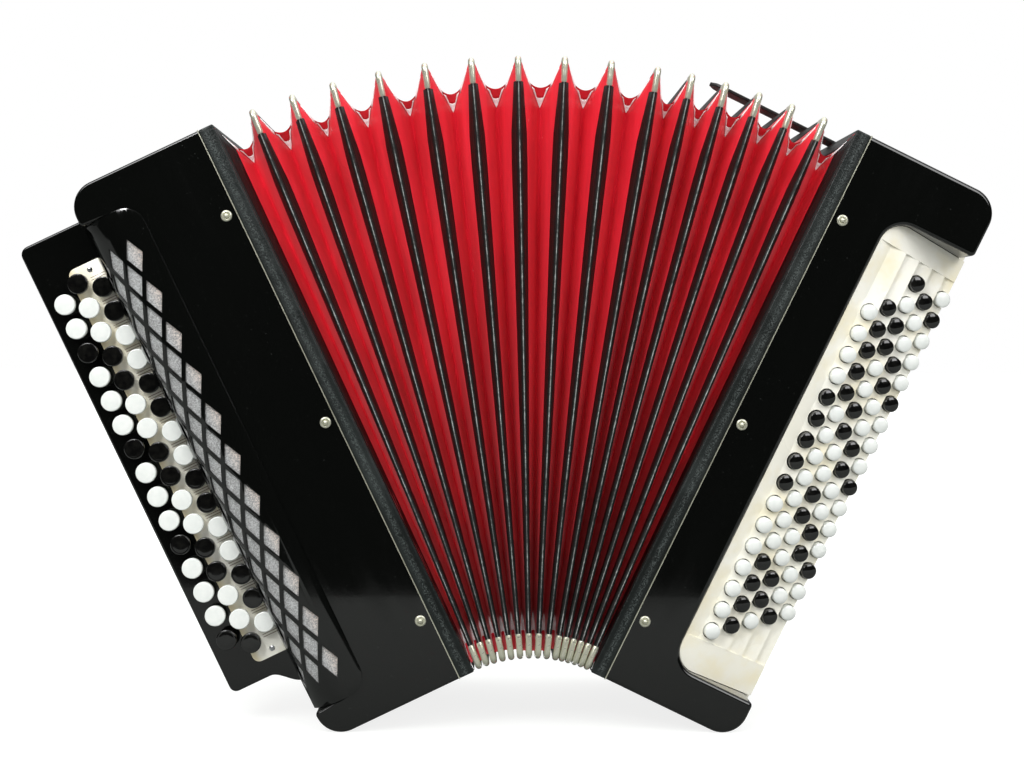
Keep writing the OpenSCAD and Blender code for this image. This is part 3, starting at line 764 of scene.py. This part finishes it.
def ridge_crest(i):
    margin = GUARD_LEG - 1
    upright = LOWER_END + margin, RIDGE_TOP - margin
    level = margin - HALF_DEPTH, HALF_DEPTH - margin
    bars = [
        crest_bar(*upright, lambda depth: depth - HALF_DEPTH, "z"),
        crest_bar(*upright, lambda depth: HALF_DEPTH - depth, "z"),
        crest_bar(*level, lambda depth: RIDGE_TOP - depth, "y"),
        crest_bar(*level, lambda depth: LOWER_END + depth, "y"),
    ]
    piece(f"ridge_tape_sleeve_{i:02d}", joined(*bars), member(i), CREST, (f"ridge_tape_{i:02d}",))


def corner_guard():
    """A bent nickel guard, with its outer corner at the origin: legs run up +z and in along +y."""
    bend_r, leg = 5.5, GUARD_LEG
    steps = 8
    straight = leg, leg - 1, 10, 7
    path = [((0, z), (-1, 0)) for z in straight]
    for k in range(steps + 1):
        a = radians(90 * k / steps)
        n = (-cos(a), -sin(a))
        path.append(((bend_r + bend_r * n[0], bend_r + bend_r * n[1]), n))
    path += [((y, 0), (0, -1)) for y in reversed(straight)]
    rows = []
    for (y, z), (ny, nz) in path:
        corner = max(0.0, 1 - sqrt(y * y + z * z) / 10)
        w = 2.05 + 0.2 * corner
        end = 0.35 if max(y, z) == leg else 0
        proud = 0.5 + 0.35 * corner
        section = [(-(w - end), -5), (w - end, -5)]
        section += [((w - end) * cos(t), -1.6 + (1.6 + proud - end) * sin(t)) for t in
                    (radians(15 * m) for m in range(13))]
        rows.append([Vector((x, y + n * ny, z + n * nz)) for x, n in section])
    return swept(rows)


def corner_guards(i):
    places = [Matrix.Translation((0, -HALF_DEPTH * front, z)) @ Matrix.Diagonal((1, front, up, 1))
              for front in (1, -1) for z, up in ((LOWER_END, 1), (RIDGE_TOP, -1))]
    bm = repeated(corner_guard(), places)
    bmesh.ops.recalc_face_normals(bm, faces=bm.faces)
    piece(f"nickel_guards_{i:02d}", bm, member(i), NICKEL, (f"corner_guards_{i:02d}",), sharp=50)


def bellows():
    for i in range(1, FOLDS + 1):
        fold_panels(i)
        fold_tape(i)
        fold_gussets(i)
    for i in range(1, FOLDS):
        ridge_crest(i)
        corner_guards(i)


# ---------- What both casings have ----------

BUTTON_KINDS = ("W", "white", WHITE), ("B", "black", BLACK)

STRIPE = 0.6  # thickness of the bright strip between a frame and its casing
CASING_START = FRAME_W + STRIPE
EDGE_R = 2.8
HORN_R = 3


def facing_out(x, y, z, front=1):
    """Stands a piece at a point, with its z straight out of the front, or of the back where front is -1."""
    return Matrix.Translation((x, y, z)) @ Matrix.Rotation(radians(90 * front), 4, "X")


def casing_outline(inset, start):
    r = CORNER_R - inset
    x = CASING_OUTER - inset - r
    low, high = LOWER_END + inset, UPPER_END - inset
    return [(start, low), *arc((x, low + r), r, -90, 0, 14), *arc((x, high - r), r, 0, 90, 14), (start, high)]


def notched_outline(x, low, high, r):
    """The casing's outline with a notch cut in from its outer side, which leaves a horn at each end."""
    outer, top = CASING_OUTER - HORN_R, CASING_OUTER - CORNER_R
    floor = [(x, low), (x, high)]
    if r:
        floor = [*arc((x + r, low + r), r, 270, 180, 10), *arc((x + r, high - r), r, 180, 90, 10)]
    return [
        (CASING_START, LOWER_END),
        *arc((top, LOWER_END + CORNER_R), CORNER_R, -90, 0, 14),
        *arc((outer, low - HORN_R), HORN_R, 0, 90, 5),
        *floor,
        *arc((outer, high + HORN_R), HORN_R, 270, 360, 5),
        *arc((top, UPPER_END - CORNER_R), CORNER_R, 0, 90, 14),
        (CASING_START, UPPER_END),
    ]


def notched_casing(outline, depth, sharp_x):
    """A solid casing: notched in front, down to depth, and whole behind. Edges at sharp_x stay sharp."""
    near = 0.1

    def rounded(p):
        return p.x > CASING_START + near and abs(p.x - sharp_x) > near

    front = prism(outline, FRONT, depth, "y")
    bevel(front, EDGE_R, 5, where=lambda p: p.y < FRONT + near and rounded(p))
    behind = prism(casing_outline(0, CASING_START), depth, BACK, "y")
    bevel(behind, EDGE_R, 5, where=lambda p: p.y > BACK - near and p.x > CASING_START + near)
    return combined(front, behind, "UNION")


def core(low_x, high_x, inset):
    """A block inside a casing or frame, inset from its front, back and ends."""
    return block((low_x, FRONT + inset, LOWER_END + inset), (high_x, BACK - inset, UPPER_END - inset))


def bellows_frame(place, name):
    corners = [(FRONT, LOWER_END), (BACK, LOWER_END), (BACK, UPPER_END), (FRONT, UPPER_END)]
    outer = prism(corners, -PANEL_START[0], FRAME_W, "x")
    outer = bevel(outer, 1.1, 3)
    tongue = core(FRAME_W - 1, TONGUE_X, WALL + 0.3)
    whole = combined(outer, tongue, "UNION")
    covering = combined(whole, core(-3, TONGUE_X + 1, FRAME_BAR))
    piece(f"{name}_frame_covering", covering, place, LEATHERETTE, (f"{name}_bellows_frame",),
          even_normals=True)


def bright_strip(place, name):
    """The thin metal strip that shows between a bellows frame and its casing."""
    proud = 0.25
    ring = []
    for p in (-proud, WALL):
        ring.append([(FRONT + p, LOWER_END + p), (BACK - p, LOWER_END + p),
                     (BACK - p, UPPER_END - p), (FRONT + p, UPPER_END - p)])
    outer = prism(ring[0], FRAME_W, FRAME_W + STRIPE, "x")
    inner = prism(ring[1], FRAME_W - 1, FRAME_W + STRIPE + 1, "x")
    piece(f"{name}_bright_strip", combined(outer, inner), place, NICKEL)


def frame_pins(place, name, node):
    dome = [(0, PIN_REACH - 0.5), (0.7, 2.25), (1.3, 1.85), (1.65, 1.3), (1.7, 0.5)]
    washer = [(2.1, 0.5), (2.4, 0.95), (2.9, 1.05), (3.5, 0.7), (3.8, 0.2), (3.8, -0.2)]
    shank = [(1.5, -0.2), (1.5, -11), (0, -11)]
    places = [facing_out(PIN_X, FRONT * front, z, front) for front in (1, -1) for z in PIN_HEIGHTS]
    piece(f"{name}_pins_domed", repeated(lathe(dome + washer + shank, 28), places), place, NICKEL, (node,))


# ---------- Treble side ----------

GRILLE_FLAT = GRILLE_BEND[0] - GRILLE_RIM_X
GRILLE_SHEET = 1.3  # thickness over the cloth; the rim is GRILLE_T thick
GRILLE_CORNER_R = 14


def on_grille(s, z, inward):
    """A point of the bent grille: s across it from the rim, z along it, inward from its surface."""
    r = GRILLE_R - inward
    a = max(0, s - GRILLE_FLAT) / GRILLE_R
    return Vector((GRILLE_BEND[0] + min(0, s - GRILLE_FLAT) + r * sin(a), GRILLE_BEND[1] - r * cos(a), z))


def lozenge_centres():
    for row in range(LOZENGE_ROWS):
        s = GRILLE_FLAT + GRILLE_R * (LOZENGE_START + LOZENGE_STEP * row)
        for cell in range(LOZENGE_CELLS - row % 2):
            yield s, LOZENGE_TOP - LOZENGE_PITCH * (cell + (row % 2) / 2)


def filled(loops):
    """A flat sheet in x and y inside the first loop and outside the others."""
    bm = bmesh.new()
    edges = []
    for loop in loops:
        verts = [bm.verts.new((a, b, 0)) for a, b in loop]
        edges += [bm.edges.new((verts[k - 1], verts[k])) for k in range(len(verts))]
    bmesh.ops.triangle_fill(bm, use_beauty=True, use_dissolve=False, edges=edges)
    return bm


def thickened(sheet, at):
    """A closed solid from a flat sheet in x and y: at(x, y, 0) is its face and at(x, y, 1) its back."""
    bm = bmesh.new()
    sheet.verts.index_update()
    layers = [[bm.verts.new(at(v.co.x, v.co.y, side)) for v in sheet.verts] for side in (0, 1)]
    for f in sheet.faces:
        corners = [v.index for v in f.verts]
        bm.faces.new([layers[0][k] for k in corners])
        bm.faces.new([layers[1][k] for k in reversed(corners)])
    for e in sheet.edges:
        if len(e.link_faces) == 1:
            a, b = (v.index for v in e.verts)
            bm.faces.new((layers[0][a], layers[0][b], layers[1][b], layers[1][a]))
    sheet.free()
    bmesh.ops.recalc_face_normals(bm, faces=bm.faces)
    return bm


def sliced(sheet, axis, places):
    """Adds edges across a flat sheet at each place along x or y."""
    for place in places:
        normal = (1, 0, 0) if axis == "x" else (0, 1, 0)
        at = tuple(place * n for n in normal)
        geom = [*sheet.verts, *sheet.edges, *sheet.faces]
        bmesh.ops.bisect_plane(sheet, geom=geom, plane_co=at, plane_no=normal, dist=1e-5)
    return sheet


def treble_grille():
    low, high = GRILLE_SPAN
    width = GRILLE_FLAT + GRILLE_R * GRILLE_TURN
    r = GRILLE_CORNER_R
    corners = [*arc((r, high - r), r, 90, 180, 10), *arc((r, low + r), r, 180, 270, 10)]
    outline = [(width, low), (width, high), *corners]
    holes = []
    for s, z in lozenge_centres():
        a, b = LOZENGE_HALF
        holes.append([(s + a, z), (s, z + b), (s - a, z), (s, z - b)])
    sheet = filled([outline, *holes])
    sliced(sheet, "x", [4 + 2.6 * k for k in range(int((width - 4) / 2.6) + 1)])
    edge = 5

    def at(s, z, side):
        rim = s < edge or z < low + edge or z > high - edge
        return on_grille(s, z, side * (GRILLE_T if rim else GRILLE_SHEET))

    bm = thickened(sheet, at)
    bevel(bm, 0.35, 2, 50)
    end = arc(GRILLE_BEND, GRILLE_R - 0.6, -90, degrees(GRILLE_TURN) - 90, 12)
    end += [(end[-1][0], GRILLE_BEND[1]), GRILLE_BEND]
    plates = [prism(end, z, z + 2, "z") for z in (low + 0.3, high - 2.3)]
    piece("bent_grille", joined(bm, *plates), TREBLE_SIDE, CELLULOID, ("treble_grille",), sharp=35)


def cloth_behind_grille():
    low, high = GRILLE_SPAN
    width = GRILLE_FLAT + GRILLE_R * (GRILLE_TURN - radians(2))
    sheet = filled([[(7, low + 6), (width, low + 6), (width, high - 6), (7, high - 6)]])
    sliced(sheet, "x", [7 + 2.2 * k for k in range(1, int((width - 7) / 2.2) + 1)])
    sliced(sheet, "y", [low + 30 * k for k in range(1, 12)])

    def at(s, z, side):
        return on_grille(s, z, GRILLE_SHEET + 0.1 + 0.5 * side)

    piece("metallic_grille_cloth", thickened(sheet, at), TREBLE_SIDE, CLOTH, ("grille_mesh",))


def treble_casing():
    low, high = GRILLE_SPAN[0] - 0.3, GRILLE_SPAN[1] + 0.3
    shell = notched_casing(notched_outline(GRILLE_BEND[0], low, high, 0), GRILLE_BEND[1], GRILLE_BEND[0])
    cavity = prism(casing_outline(WALL, 8), FRONT + WALL, BACK - WALL, "y")
    low_z, high_z = GRILLE_SPAN[0] + 4, GRILLE_SPAN[1] - 4
    window = block((72, FRONT - 1, low_z), (GRILLE_BEND[0] + 1, FRONT + WALL + 1, high_z))
    slot = block((CASING_OUTER - WALL - 1, -58, 162), (CASING_OUTER + 1, -46, 462))
    for tool in (cavity, window, slot):
        shell = combined(shell, tool)
    piece("treble_casing_shell", shell, TREBLE_SIDE, CELLULOID, ("treble_casing",), even_normals=True)


def fingerboard_outline():
    x, foot, outer = CASING_OUTER + 2, 133, BOARD_OUTER + 3.5
    step = [(x + 20 * k / 12, foot + 6 - 6 * cos(pi * k / 12)) for k in range(13)]
    corner = (outer - BOARD_CORNER_R, BOARD_TOP - BOARD_CORNER_R)
    low_corner = arc((outer - 5, foot + 17), 5, -90, 0, 6)
    top_corner = arc(corner, BOARD_CORNER_R, 0, 90, 8)
    return [(CASING_OUTER, foot), *step, *low_corner, *top_corner, (CASING_OUTER, BOARD_TOP)]


def fingerboard():
    bm = prism(fingerboard_outline(), BOARD_Y, BOARD_BACK_Y, "y")
    bevel(bm, 1.6, 4, where=lambda p: p.x > CASING_OUTER + 0.1)
    piece("black_fingerboard", bm, TREBLE_SIDE, CELLULOID, ("fingerboard",), even_normals=True)


def overlay():
    """The ivory strip under the inner rows, with a slightly uneven outer edge."""
    rng = random.Random(7)
    low, high = OVERLAY_SPAN
    r = 5
    steps = 49
    straight = high - low - 2 * r
    edge = [(OVERLAY_X + rng.uniform(-0.35, 0.25), low + r + straight * k / steps) for k in range(1, steps)]
    outline = [(CASING_OUTER, low), *arc((OVERLAY_X - r, low + r), r, -90, 0, 6), *edge,
               *arc((OVERLAY_X - r, high - r), r, 0, 90, 6), (CASING_OUTER, high)]
    bm = prism(outline, BOARD_Y - OVERLAY_T, BOARD_Y, "y")
    bevel(bm, 0.35, 2, where=lambda p: p.y < BOARD_Y - 0.5)
    piece("fingerboard_ivory", bm, TREBLE_SIDE, LINED_IVORY, ("fingerboard_overlay",))
    head = [(0, 0.9), (1.4, 0.75), (1.9, 0.3), (1.9, 0), (0, 0)]
    screw = combined(lathe(head, 24), block((-2.5, -0.25, 0.45), (2.5, 0.25, 1.5)))
    places = [facing_out(CASING_OUTER + 12, BOARD_Y - OVERLAY_T, z) for z in (low + 5, high - 5)]
    piece("overlay_screws", repeated(screw, places), TREBLE_SIDE, STEEL)


def treble_button():
    """A flat button with a soft edge and a shallow ring, on its stem. Height 0 is the fingerboard."""
    under, over = BUTTON_GAP, BUTTON_GAP + BUTTON_T
    edge = arc((BUTTON_R - 0.9, over - 0.9), 0.9, 0, 90, 5)
    face = [(BUTTON_R - 1.3, over - 0.08), (BUTTON_R - 1.6, over - 0.02), (3, over + 0.04), (0, over + 0.06)]
    base = [(0, BOARD_Y - STEM_END), (STEM_R, BOARD_Y - STEM_END), (STEM_R, under), (BUTTON_R - 0.5, under),
            (BUTTON_R, under + 0.5)]
    return lathe(base + edge + face, 36)


def treble_buttons():
    for r, (x, top, letters) in enumerate(TREBLE_ROWS, 1):
        for letter, word, finish in BUTTON_KINDS:
            places = [facing_out(x, BOARD_Y, top - TREBLE_PITCH * k)
                      for k, found in enumerate(letters) if found == letter]
            piece(f"treble_{word}_buttons_{r}", repeated(treble_button(), places), TREBLE_SIDE, finish,
                  (f"treble_buttons_row_{r}",), f"treble_keys_{r}")


def strap_brackets():
    """Shoulder-strap brackets on the back, and the closing strap's low stud."""
    reach = BRACKET_REACH
    bow = [(0, 2), (0, reach - 3), (3, reach), (25, reach), (28, reach - 3), (28, 2)]
    inner = [(25, 2), (25, reach - 4), (24, reach - 3), (4, reach - 3), (3, reach - 4), (3, 2)]
    parts = []
    for z in (130, 455):
        loop = prism([(46 + a, BACK + b) for a, b in bow + inner], z - 3, z + 3, "z")
        plate = block((43, BACK, z - 9), (77, BACK + 2, z + 9))
        parts += [bevel(loop, 0.8, 3), bevel(plate, 0.7, 2)]
        head = [(0, 1.2), (1.6, 0.9), (2.1, 0.3), (2.1, 0), (0, 0)]
        parts += [repeated(lathe(head, 20), [facing_out(x, BACK + 2, z + 6, -1)]) for x in (48, 72)]
    stud = lathe([(0, 1.2), (2.6, 1.1), (3.6, 0.7), (4, 0.3), (4, 0), (0, 0)], 28)
    parts.append(repeated(stud, [Matrix.Translation((16, 0, UPPER_END))]))
    piece("strap_brackets", joined(*parts), TREBLE_SIDE, NICKEL, ("strap_rings",))


def treble_side():
    treble_casing()
    bellows_frame(TREBLE_SIDE, "treble")
    bright_strip(TREBLE_SIDE, "treble")
    frame_pins(TREBLE_SIDE, "treble", "treble_pins")
    treble_grille()
    cloth_behind_grille()
    fingerboard()
    overlay()
    treble_buttons()
    strap_brackets()


# ---------- Bass side ----------


def bass_casing():
    """The casing, with a rounded recess for the buttons and a window behind the end cover."""
    shell = notched_casing(notched_outline(RECESS_X, *RECESS_SPAN, RECESS_R), RECESS_BACK_Y, CASING_OUTER + 1)
    floor_z, roof_z = LOWER_END + WALL, UPPER_END - WALL
    inner = CASING_OUTER - WALL
    deep = block((8, RECESS_BACK_Y + 1, floor_z), (inner, BACK - WALL, roof_z))
    beside = block((8, FRONT + WALL, floor_z), (RECESS_X - WALL, RECESS_BACK_Y + 2, roof_z))
    low, high = RECESS_SPAN[0] + 4, RECESS_SPAN[1] - 4
    recess = block((RECESS_X + RECESS_R, RECESS_BACK_Y - 1, low), (inner, RECESS_BACK_Y + 2, high))
    window = block((inner - 1, RECESS_BACK_Y, low), (CASING_OUTER + 1, 80, high))
    wheel_hole = prism(arc((WHEEL_X, STRAP_Y), 3.1, 0, 337.5, 15), UPPER_END - 10, UPPER_END + 5, "z")
    for tool in (deep, beside, recess, window, wheel_hole):
        shell = combined(shell, tool)
    piece("bass_casing_shell", shell, BASS_SIDE, CELLULOID, ("bass_casing",), even_normals=True)


def tread(r):
    """Middle of tread r, in x and y."""
    run, half = r * TREAD_PITCH, TREAD_L / 2
    return (FIRST_TREAD[0] + run * cos(BOARD_SLOPE) + half * cos(TREAD_TILT),
            FIRST_TREAD[1] + run * sin(BOARD_SLOPE) + half * sin(TREAD_TILT))


def on_tread(r, z):
    """Stands a piece on tread r, with its z straight out of it."""
    x, y = tread(r)
    out = Matrix.Rotation(TREAD_TILT - pi / 2, 4, "Z") @ Matrix.Rotation(pi / 2, 4, "Y")
    return Matrix.Translation((x, y, z)) @ out


def bass_button(stem):
    """A domed button. Height 0 is the tread."""
    r = BASS_BUTTON_R
    dome = arc((r - 0.6, 3.1), 0.6, 0, 66, 3)
    dome += [(r * s, 4.75 - 1.15 * s * s) for s in (0.82, 0.66, 0.5, 0.33, 0.16)]
    return lathe([(0, -stem), (2, -stem), (2, -4.5), (r, -4.5), *dome, (0, 4.75)], 32)


def bass_buttons():
    groups = ((0, 1), "bass_note_buttons", "bass_notes"), ((2, 3, 4), "chord_buttons", "chords")
    for rows, node, body in groups:
        for letter, word, finish in BUTTON_KINDS:
            places = [on_tread(r, BASS_ROWS[r][0] - BASS_PITCH * k)
                      for r in rows for k, found in enumerate(BASS_ROWS[r][1]) if found == letter]
            name = f"{node.split('_')[0]}_{word}_buttons"
            piece(name, repeated(bass_button(14), places), BASS_SIDE, finish, (node,), body)
    air = repeated(bass_button(22), [on_tread(AIR_ROW, BASS_ROWS[AIR_ROW][0] + BASS_PITCH)])
    piece("air_button_domed", air, BASS_SIDE, BLACK, ("air_button",), "air_key")


def stitches(rail, half_w, lift):
    """A stitch at each step of rail, a list of (x, z), on both edges of a strap."""
    parts = []
    for side in (-1, 1):
        for (x0, z0), (x1, z1) in zip(rail[::2], rail[1::2]):
            ends = []
            for t in (0, 0.25, 0.5, 0.75, 1):
                x, z = x0 + (x1 - x0) * t, z0 + (z1 - z0) * t
                bulge = lift + 0.45 * sin(pi * t)
                centre = Vector((x + bulge, STRAP_Y + side * half_w, z))
                ends.append([centre + Vector((0.35 * cos(a), 0.4 * sin(a), 0)) for a in
                             (radians(60 * m) for m in range(6))])
            parts.append(swept(ends))
    return joined(*parts)


def hand_strap():
    """A leather strap bowed over the end cover, stitched along both edges."""
    base = CASING_OUTER + COVER_T
    middle = (LOWER_END + UPPER_END) / 2
    half_l, thick, tail = 150, 3, 14
    r = (half_l * half_l + STRAP_RISE * STRAP_RISE) / (2 * STRAP_RISE)
    bow = asin(half_l / r)
    centre = (base + STRAP_RISE - r, middle)
    steps = 48
    turns = [bow * (2 * k / steps - 1) for k in range(steps + 1)]
    rail = [(centre[0] + r * cos(a), middle + r * sin(a)) for a in turns]
    rail = [(base, middle - half_l - tail), *rail, (base, middle + half_l + tail)]
    rows = []
    half = STRAP_W / 2
    edge = 1.2
    for x, z in rail:
        side = [(half - edge, 0), (half, edge), (half, thick - edge), (half - edge, thick),
                (half - 3, thick + 0.15), (half - 4, thick - 0.25), (half - 5, thick + 0.1)]
        section = [*side, (0, thick + 0.4), *((-w, h) for w, h in reversed(side))]
        rows.append([Vector((x + h, STRAP_Y + w, z)) for w, h in section])
    piece("hand_strap_leather", swept(rows), BASS_SIDE, LEATHER, ("hand_strap",), sharp=60)
    fine = [bow * (2 * k / 119 - 1) for k in range(120)]
    seam = [(centre[0] + r * cos(a), middle + r * sin(a)) for a in fine]
    piece("hand_strap_stitches", stitches(seam, half - 4, thick - 0.2), BASS_SIDE, THREAD)
    plates = []
    for z in (middle - half_l - 13, middle + half_l + 1):
        plate = block((base + thick, STRAP_Y - half - 2, z), (base + thick + 1.2, STRAP_Y + half + 2, z + 12))
        plates.append(bevel(plate, 0.45, 2))
        for y in (-half + 5, half - 5):
            head = lathe([(0, 1.1), (1.5, 0.85), (2.2, 0.2), (2.2, -0.2), (0, -0.2)], 20)
            centre = Matrix.Translation((base + thick + 1.2, STRAP_Y + y, z + 6))
            plates.append(repeated(head, [centre @ Matrix.Rotation(pi / 2, 4, "Y")]))
    piece("hand_strap_plates", joined(*plates), BASS_SIDE, NICKEL)


def strap_wheel():
    """A knurled wheel on the top of the casing."""
    rows = []
    teeth = 36
    low, high = UPPER_END + 0.4, UPPER_END + 7.4
    levels = ((low, 9.6), (low + 0.6, 10.6), (high - 1.2, 10.8), (high - 0.3, 10.1), (high, 8.8))
    for z, r in levels:
        ring = []
        for k in range(2 * teeth):
            reach = r if k % 2 else r - 0.55
            a = pi * k / teeth
            ring.append(Vector((WHEEL_X + reach * cos(a), STRAP_Y + reach * sin(a), z)))
        rows.append(ring)
    screw = repeated(lathe([(0, 1.3), (1.8, 1.1), (2.4, 0.5), (2.4, -18), (0, -18)], 24),
                     [Matrix.Translation((WHEEL_X, STRAP_Y, high))])
    piece("knurled_strap_wheel", joined(swept(rows), screw), BASS_SIDE, BLACK, ("strap_wheel",),
          "strap_adjuster", sharp=30)


def closing_strap():
    """The leather strap that holds the bellows shut, straight out over the folds' upper ends."""
    half, thick = 9, 2.5
    z = UPPER_END + 0.3
    tip, root = -98, 58
    steps = 40
    rows = []
    for k in range(steps + 1):
        x = tip + (root - tip) * k / steps
        w = half if x > tip + half else sqrt(half * half - (tip + half - x) ** 2)
        w = max(w, 0.8)
        top = z + thick
        side = [(0.4 - w, z), (-w, z + 0.5), (-w, top - 0.5), (0.5 - w, top), (1.6 - w, top - 0.1),
                (2 - w, top - 0.3), (2.4 - w, top - 0.1)]
        section = [*side, (0, top + 0.1), *((-y, h) for y, h in reversed(side))]
        rows.append([Vector((x, y, h)) for y, h in section])
    piece("closing_strap_leather", swept(rows), BASS_SIDE, LEATHER, ("closing_strap",))
    stud = lathe([(0, 1.4), (2.4, 1.2), (3.6, 0.6), (3.9, 0), (3.9, -0.6), (0, -0.6)], 24)
    places = [Matrix.Translation((x, 0, z + thick)) for x in (-86, 44)]
    piece("closing_strap_studs", repeated(stud, places), BASS_SIDE, NICKEL)


def bass_side():
    bass_casing()
    bellows_frame(BASS_SIDE, "bass")
    bright_strip(BASS_SIDE, "bass")
    frame_pins(BASS_SIDE, "bass", "bass_pins")
    bass_buttons()
    hand_strap()
    strap_wheel()
    closing_strap()


# ---------- CAD parts that stay, with better materials ----------


def dress_cad_parts():
    finishes = {
        "bass_end_cover": IVORY,
        "bass_button_board": IVORY,
        "treble_soundboard": WOOD,
        "treble_reed_blocks": WOOD,
        "bass_reed_blocks": WOOD,
        "air_valve": STEEL,
        **{f"treble_levers_row_{r}": STEEL for r in (1, 2, 3)},
    }
    for name, finish in finishes.items():
        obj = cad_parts[name]
        obj.data.materials.clear()
        obj.data.materials.append(finish.material)


# ---------- Floor, light and camera ----------

FLOOR_FRONT = -0.7  # metres


def studio():
    """A pale table, with bright air above and behind it, and darkness in front that the gloss black shows."""
    floor = Look("floor", (0.2, 0.2, 0.2), 0.8)
    tint = floor.noise(2, 2)
    floor.set("Base Color", floor.mix(floor.span(tint, 0.3, 0.7), (0.2, 0.21, 0.2), (0.18, 0.19, 0.18)))
    away = floor.node("VectorMath", {0: floor.place}, 1, operation="LENGTH")
    glow = floor.span(away, 0.5, 1.5, 0.83, 1.05)
    seen = floor.node("LightPath", {}, "Is Camera Ray")
    floor.set("Emission Color", (1, 1, 0.995, 1))
    floor.set("Emission Strength", floor.maths("MULTIPLY", glow, seen))
    ground = make_object("floor", block((-8, FLOOR_FRONT, -0.05), (8, 12, -0.0003)), floor.material, 30)

    world = bpy.data.worlds.new("studio")
    bpy.context.scene.world = world
    world.use_nodes = True
    nodes, links = world.node_tree.nodes, world.node_tree.links

    def ramp(value, low, high, to_low, to_high):
        made = nodes.new("ShaderNodeMapRange")
        links.new(value, made.inputs[0])
        for k, number in enumerate((low, high, to_low, to_high), 1):
            made.inputs[k].default_value = number
        return made.outputs[0]

    def total(a, b, operation="ADD"):
        made = nodes.new("ShaderNodeMath")
        made.operation = operation
        links.new(a, made.inputs[0])
        links.new(b, made.inputs[1])
        return made.outputs[0]

    towards = nodes.new("ShaderNodeSeparateXYZ")
    links.new(nodes.new("ShaderNodeTexCoord").outputs["Generated"], towards.inputs[0])
    path = nodes.new("ShaderNodeLightPath").outputs
    soft_light = ramp(path["Is Diffuse Ray"], 0, 1, 0, 0.5)
    above = ramp(towards.outputs["Z"], 0.3, 0.9, 0.015, 0.75)
    behind = ramp(towards.outputs["Y"], 0.1, 0.8, 0, 0.1)
    background = nodes["Background"]
    background.inputs[0].default_value = (1, 1, 1, 1)
    light = total(total(above, behind), soft_light)
    links.new(total(light, path["Is Camera Ray"], "MAXIMUM"), background.inputs[1])

    softbox("key", (-1.0, -1.5, 1.7), 1.3, 36)
    softbox("fill", (1.2, -1.5, 1.4), 1.3, 26)
    softbox("top", (0.1, 0.3, 2.1), 1.8, 14)
    softbox("back", (0.2, 1.8, 1.4), 1.8, 5)
    softbox("window", (-0.55, -1.25, 0.95), 0.14, 2.5)


def softbox(name, at, size, power):
    light = bpy.data.lights.new(name, "AREA")
    light.size = size
    light.energy = power
    obj = bpy.data.objects.new(name, light)
    bpy.context.scene.collection.objects.link(obj)
    obj.location = at
    aim = Vector((0, 0, 0.2)) - Vector(at)
    obj.rotation_euler = aim.to_track_quat("-Z", "Y").to_euler()


def camera():
    """Level with the middle of the bellows, 1.2 m in front of them, looking slightly down."""
    data = bpy.data.cameras.new("camera")
    data.sensor_width = 36
    data.lens = 59.8
    obj = bpy.data.objects.new("camera", data)
    bpy.context.scene.collection.objects.link(obj)
    turn, tilt, roll = -0.0183, pi / 2 - 0.0253, 0.0062
    aim = Matrix.Rotation(turn, 4, "Z") @ Matrix.Rotation(tilt, 4, "X") @ Matrix.Rotation(roll, 4, "Z")
    obj.matrix_world = Matrix.Translation((-0.016, -1.233, 0.265)) @ aim
    bpy.context.scene.camera = obj


bellows()
treble_side()
bass_side()
dress_cad_parts()
studio()
camera()
bpy.context.scene.view_settings.view_transform = "Standard"
